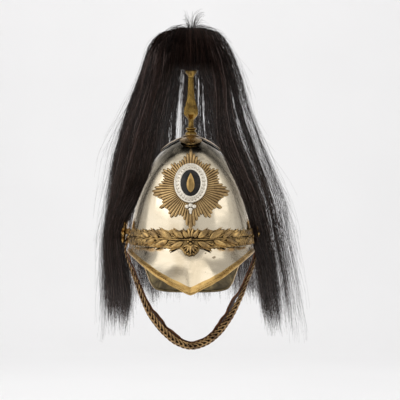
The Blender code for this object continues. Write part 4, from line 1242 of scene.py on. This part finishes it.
def makeStrands():
    count = plume["strands"]
    angle = drawAngles(count)
    locks = falls["locks"]
    lockAngle = drawAngles(locks)
    lockAngle.sort()
    nearest = np.clip(np.searchsorted(lockAngle, angle), 1, locks - 1)
    nearest = np.where(np.abs(lockAngle[nearest - 1] - angle) < np.abs(lockAngle[nearest] - angle),
                       nearest - 1, nearest)
    lockTone, lockLength, lockDepth = draw.random(locks), draw.normal(0, 1, locks), draw.random(locks)
    sway = draw.normal(0, falls["lockSway"], (locks, plume["points"], 2))
    sway[:, 0] = 0
    lockOut = draw.uniform(*falls["lockOut"], locks)
    behind = np.abs(angle) > math.radians(falls["behind"])
    hem = np.where(behind, falls["hemBehind"], np.where(angle > 0, falls["hemRight"], falls["hemLeft"]))
    end = (hem + falls["lockHem"] * lockLength[nearest]
           + np.where(behind, falls["raggedBehind"], falls["ragged"]) * draw.normal(0, 1, count))
    end = end + np.where(draw.random(count) < 0.3, 0.030, 0.004) * draw.exponential(1, count)
    end = end + np.where(draw.random(count) < 0.10, draw.random(count) * 0.17, 0)
    end = end.clip(falls["lowest"], falls["highest"])
    begin = draw.random(count) ** 1.5 * falls["begin"]
    run = begin[:, None] + (runTo(end) - begin)[:, None] * down
    gathered = draw.random((count, 1)) < falls["gathered"]
    pull = (np.where(gathered, *falls["pull"]) * np.minimum(1, 2.4 * down) ** 0.8
            * draw.uniform(0.75, 1.0, (count, 1)))
    pull *= np.where(behind, falls["pullBehind"], 1.0)[:, None]
    turned = angle[:, None] * (1 - pull) + lockAngle[nearest][:, None] * pull
    turned = turned + draw.normal(0, 0.018, (count, 1)) * down
    turned = turned + 0.008 * np.sin(
        down * draw.uniform(3, 9, (count, 1)) + draw.uniform(0, 6, (count, 1))) * down
    least = math.radians(falls["leastAngle"]) + draw.uniform(0, 0.10, (count, 1))
    turned = np.sign(angle)[:, None] * np.clip(np.abs(turned), least, np.pi + 0.2)
    # the thin right side fills its depth, not only its outer face
    thin = ((angle > falls["thinFrom"]) & (angle < falls["thinTo"]))[:, None]
    inward = draw.random((count, 1)) ** 0.8
    inward = np.where(thin & gathered, 0.85 * lockDepth[nearest][:, None] + 0.15 * inward, inward)
    out = (-np.where(thin, falls["thinDepth"], falls["depth"]) * inward * np.minimum(1, 4 * down + 0.3)
           + lockOut[nearest][:, None] * down * 0.5)
    halo = draw.random(count) < falls["halo"]
    stray = np.where(halo, draw.exponential(falls["haloOut"], count), 0).clip(0, falls["haloMost"])
    lines = hairPoints(run, turned, out + stray[:, None] * down)
    wave = draw.uniform(*falls["wave"], (count, 1, 1)) * down[..., None]
    phase = draw.uniform(0, 6.28, (count, 1, 3))
    speed = draw.uniform(4, 13, (count, 1, 3))
    lines = lines + wave * np.sin(speed * down[..., None] + phase) * np.array([1, 1, 0.2])
    lines[..., :2] += sway[nearest]
    lines = lines + frizz(count, falls["frizz"]) * np.where(behind, falls["frizzBehind"], 1.0)[:, None, None]
    radii = taper(0.7, 1.5, count)
    # painted sheen: strands towards the sides are painted lighter, and a share of strands is painted pale as
    # painted highlights
    outer = np.clip((np.abs(np.sin(angle)) - 0.75) / 0.25, 0, 1)
    tonesAndSheen = (0.66 * lockTone[nearest] ** 1.8 + 0.26 * draw.random(count) + 0.22 * outer).clip(0, 0.92)
    tonesAndSheen = np.where(draw.random(count) < falls["paintedShineShare"], 0.90 + 0.10 * draw.random(count), tonesAndSheen)
    # few of them are seen in the polished metal, which otherwise goes black
    order = draw.permutation(count)
    few = falls["mirrored"]
    cuts = (0, few, *np.linspace(few, count, falls["pieces"]).astype(int)[1:])
    for k in range(falls["pieces"]):
        some = order[cuts[k]:cuts[k + 1]]
        piece = addHair("hairStrands%d" % (k + 1), lines[some], radii[some], tonesAndSheen[some])
        piece.visible_glossy = k == 0


def makeCrownHair():  # shorter hair that thickens the crown
    count = plume["crownHair"]
    angle = eitherSide(30, 180, count)
    begin = draw.random(count) ** 1.5 * falls["begin"]
    run = begin[:, None] + (runTo(draw.uniform(0.195, 0.285, count)) - begin)[:, None] * down
    turned = angle[:, None] + draw.normal(0, 0.12, (count, 1)) * down
    turned = np.sign(angle)[:, None] * np.clip(np.abs(turned), math.radians(28), np.pi + 0.1)
    lines = hairPoints(run, turned, -0.012 * draw.random((count, 1)) * np.minimum(1, 4 * down + 0.3))
    lines = lines + frizz(count, 0.0007)
    addHair("hairCrown", lines, taper(0.8, 1.4, count), draw.random(count) ** 1.8 * 0.85)


# short hair over the front of the cup: heights in metres
fringe = {"end": 0.2700, "lowest": 0.252, "highest": 0.325, "halfAngle": 42, "begin": 0.018, "depth": 0.016,
          # the hem's waves as size, how many and shift
          "waves": ((0.0036, 17, 0), (0.0030, 41, 1), (0.0020, 90, 2)), "curl": 0.0014}


def makeFringe():
    count = plume["fringe"]
    angle = np.radians(draw.uniform(-fringe["halfAngle"], fringe["halfAngle"], count))
    ragged = sum(size * np.sin(angle * many + shift) for size, many, shift in fringe["waves"])
    end = fringe["end"] + ragged + draw.normal(0, 0.0022, count) + 0.003 * draw.exponential(1, count)
    end = end - np.where(draw.random(count) < 0.10, 0.016 * draw.random(count), 0)
    begin = draw.random(count) * fringe["begin"]
    end = runTo(end.clip(fringe["lowest"], fringe["highest"]))
    run = begin[:, None] + (end - begin)[:, None] * down
    out = -fringe["depth"] * draw.random((count, 1)) * np.minimum(1, 3 * down + 0.2)
    turned = angle[:, None] + draw.normal(0, 0.14, (count, 1)) * (down - 0.5)
    # inside the opening the hair keeps straight meridians
    z, width, shift, front = sectionAt(run)[:4]
    lines = np.stack([(width * plume["halfWidth"] + out) * np.sin(turned),
                      -(front * plume["halfWidth"] + out) * np.cos(turned), z], axis=-1)
    bends = down[..., None] * draw.uniform(3, 9, (count, 1, 3)) + draw.uniform(0, 6, (count, 1, 3))
    lines = lines + fringe["curl"] * np.sin(bends) * down[..., None]
    lines = lines + frizz(count, 0.0007)
    addHair("hairFringe", lines, taper(0.8, 1.4, count), draw.random(count) ** 1.6 * 0.9)


# loose hair: how far it may stand off at three places along the falls, and the box it stays in
loose = {"places": (0, 0.30, 0.45), "room": (0.040, 0.026, 0.0125), "left": -0.1572, "right": 0.1915,
         "radius": 0.00013, "tuftRadius": 0.00022, "tuftFoot": 0.3345, "top": 0.3722, "upright": 0.26}


def makeLooseHair():
    count = plume["flyaways"]
    angle = eitherSide(45, 135, count)
    begin = 0.03 + draw.random(count) ** 0.8 * 0.34
    run = (begin[:, None] + draw.uniform(0.06, 0.24, (count, 1)) * down).clip(None, sectionRun[-1])
    room = np.interp(run[:, -1], loose["places"], loose["room"])[:, None]
    away = (draw.exponential(0.0075, (count, 1)).clip(0.001) * down**1.4).clip(0, room)
    lines = hairPoints(run, angle[:, None] + draw.normal(0, 0.08, (count, 1)) * down, away)
    bend = draw.normal(0, 0.0030, (count, 1, 3)) * np.sin(draw.uniform(2, 6, (count, 1, 1)) * down[..., None])
    lines = lines + bend + frizz(count, 0.0006)
    lines[..., 0] = lines[..., 0].clip(loose["left"], loose["right"])
    thin = loose["radius"] * (1 - 0.5 * down) * np.ones((count, 1))
    # a spray of short ends over the crown, some of them in a few upright wisps
    count = plume["tuft"]
    turn = draw.uniform(0, 2 * np.pi, count)
    lean = draw.random(count) ** 0.7
    upright = draw.random(count) < loose["upright"]
    lean = np.where(upright, lean * 0.16, lean)
    tall = np.where(upright, draw.uniform(0.014, 0.0370, count), draw.uniform(0.004, 0.018, count))[:, None]
    turn, lean = turn[:, None], lean[:, None]
    out = 0.003 + (0.010 + 0.050 * lean) * down**1.2
    rise = loose["tuftFoot"] + tall * np.sin(down * np.pi * (0.5 + 0.30 * lean)) - 0.022 * lean * down**2
    tuft = np.stack([out * np.cos(turn) + 0.004 * down, 0.8 * out * np.sin(turn), rise], axis=-1)
    tuft = tuft + draw.normal(0, 0.0013, (count, 1, 3)) * np.sin(
        down[..., None] * draw.uniform(2, 5, (count, 1, 1)))
    tuft[..., 2] = tuft[..., 2].clip(None, loose["top"])
    tuftRadii = loose["tuftRadius"] * (1 - 0.6 * down) * np.ones((count, 1))
    lines = np.concatenate([lines, tuft])
    addHair("hairLoose", lines, np.concatenate([thin, tuftRadii]), draw.random(len(lines)) ** 1.3 * 0.85)


# a dark woven cap on the cup that the hair is tied to
cap = {"sides": 32, "depth": 0.80, "ruffle": 0.05, "folds": 9,
       # radius as a share of the plume's half width, and height
       "profile": ((0, 0.3300), (0.12, 0.3290), (0.24, 0.3220), (0.33, 0.3080), (0.38, 0.2950),
                   (0.40, 0.2850),
                   (0.37, 0.2815), (0.20, 0.2800), (0, 0.2800))}


def makeCap():
    def place(column, row):
        angle = turnOf(column, cap["sides"])
        width, z = cap["profile"][row]
        ruffle = 1 + cap["ruffle"] * math.sin(angle * cap["folds"]) * (1 if 1 < row < 7 else 0)
        radius = width * plume["halfWidth"] * ruffle
        return Vector((radius * math.sin(angle), -cap["depth"] * radius * math.cos(angle), z))

    body = weld(newGrid("hairCap", cap["sides"], len(cap["profile"]) - 1, place))
    settle(body, finishes["cap"], "horsehair", "plume", angle=60)


makeCap()
makeStrands()
makeCrownHair()
makeFringe()
print("strands made")
makeLooseHair()
print("loose hair made")

# plain pale surroundings
studio = {"floor": -0.46, "back": 2.6, "half": 7.0, "bend": 1.2, "rows": 26, "sky": 0.47,
          # spot, aim, size, watts, and whether it is seen in polished metal
          "lights": (("leftSoftbox", (-1.9, -1.1, 0.9), (0, 0, 0.05), (4.3, 3.2), 27, True),
                     ("rightPanel", (1.95, -1.15, 0.9), (0, 0, 0.05), (4.3, 3.2), 6.9, True),
                     ("topLeftBox", (-1.55, -0.7, 2.3), (-0.1, -0.2, 0), (2.2, 3.8), 21, True),
                     ("topRightBox", (2.0, -0.7, 2.3), (0.1, -0.2, 0), (2.2, 3.8), 15, True),
                     ("backWash", (0, 1.3, 2.3), (0, 3.6, 0.2), (4.0, 1.2), 34, False),
                     ("floorWash", (0, 0.5, 2.3), (0, 0.8, -0.5), (4.0, 2.0), 12, False))}


def makeStudio():
    finish, tree, shader = newFinish("backdrop", (0.86, 0.86, 0.86), 0.9, 0.0)
    feed(tree, shader, rampOn(tree, noiseOn(tree, 2, 2), (0.4, (0.855, 0.850, 0.852)),
                              (0.6, (0.865, 0.860, 0.862))))
    rows, back, bend = studio["rows"], studio["back"], studio["bend"]

    def place(column, row):
        x = (column / 2 - 0.5) * 2 * studio["half"]
        if row == 0:
            return Vector((x, -studio["half"], studio["floor"]))
        if row == rows:
            return Vector((x, back + bend, studio["half"]))
        turn = math.pi / 2 * (row - 1) / (rows - 2)
        return Vector((x, back + bend * math.sin(turn), studio["floor"] + bend * (1 - math.cos(turn))))

    sweep = newGrid("paperSweep", 2, rows, place)
    sweep.data.shade_smooth()
    sweep.data.materials.append(finish)
    world = bpy.context.scene.world or bpy.data.worlds.new("surround")
    bpy.context.scene.world = world
    world.use_nodes = True
    background = world.node_tree.nodes["Background"]
    background.inputs["Color"].default_value = (1, 1, 1, 1)
    background.inputs["Strength"].default_value = studio["sky"]
    for name, spot, aim, size, watts, mirrored in studio["lights"]:
        lamp = bpy.data.lights.new(name, "AREA")
        lamp.shape = "RECTANGLE"
        lamp.size, lamp.size_y = size
        lamp.energy = watts
        stand = newObject(name, lamp)
        stand.location = spot
        stand.rotation_euler = (Vector(aim) - Vector(spot)).to_track_quat("-Z", "Y").to_euler()
        stand.visible_glossy = mirrored
    bpy.context.scene.view_settings.view_transform = "Standard"


makeStudio()
print("studio made")
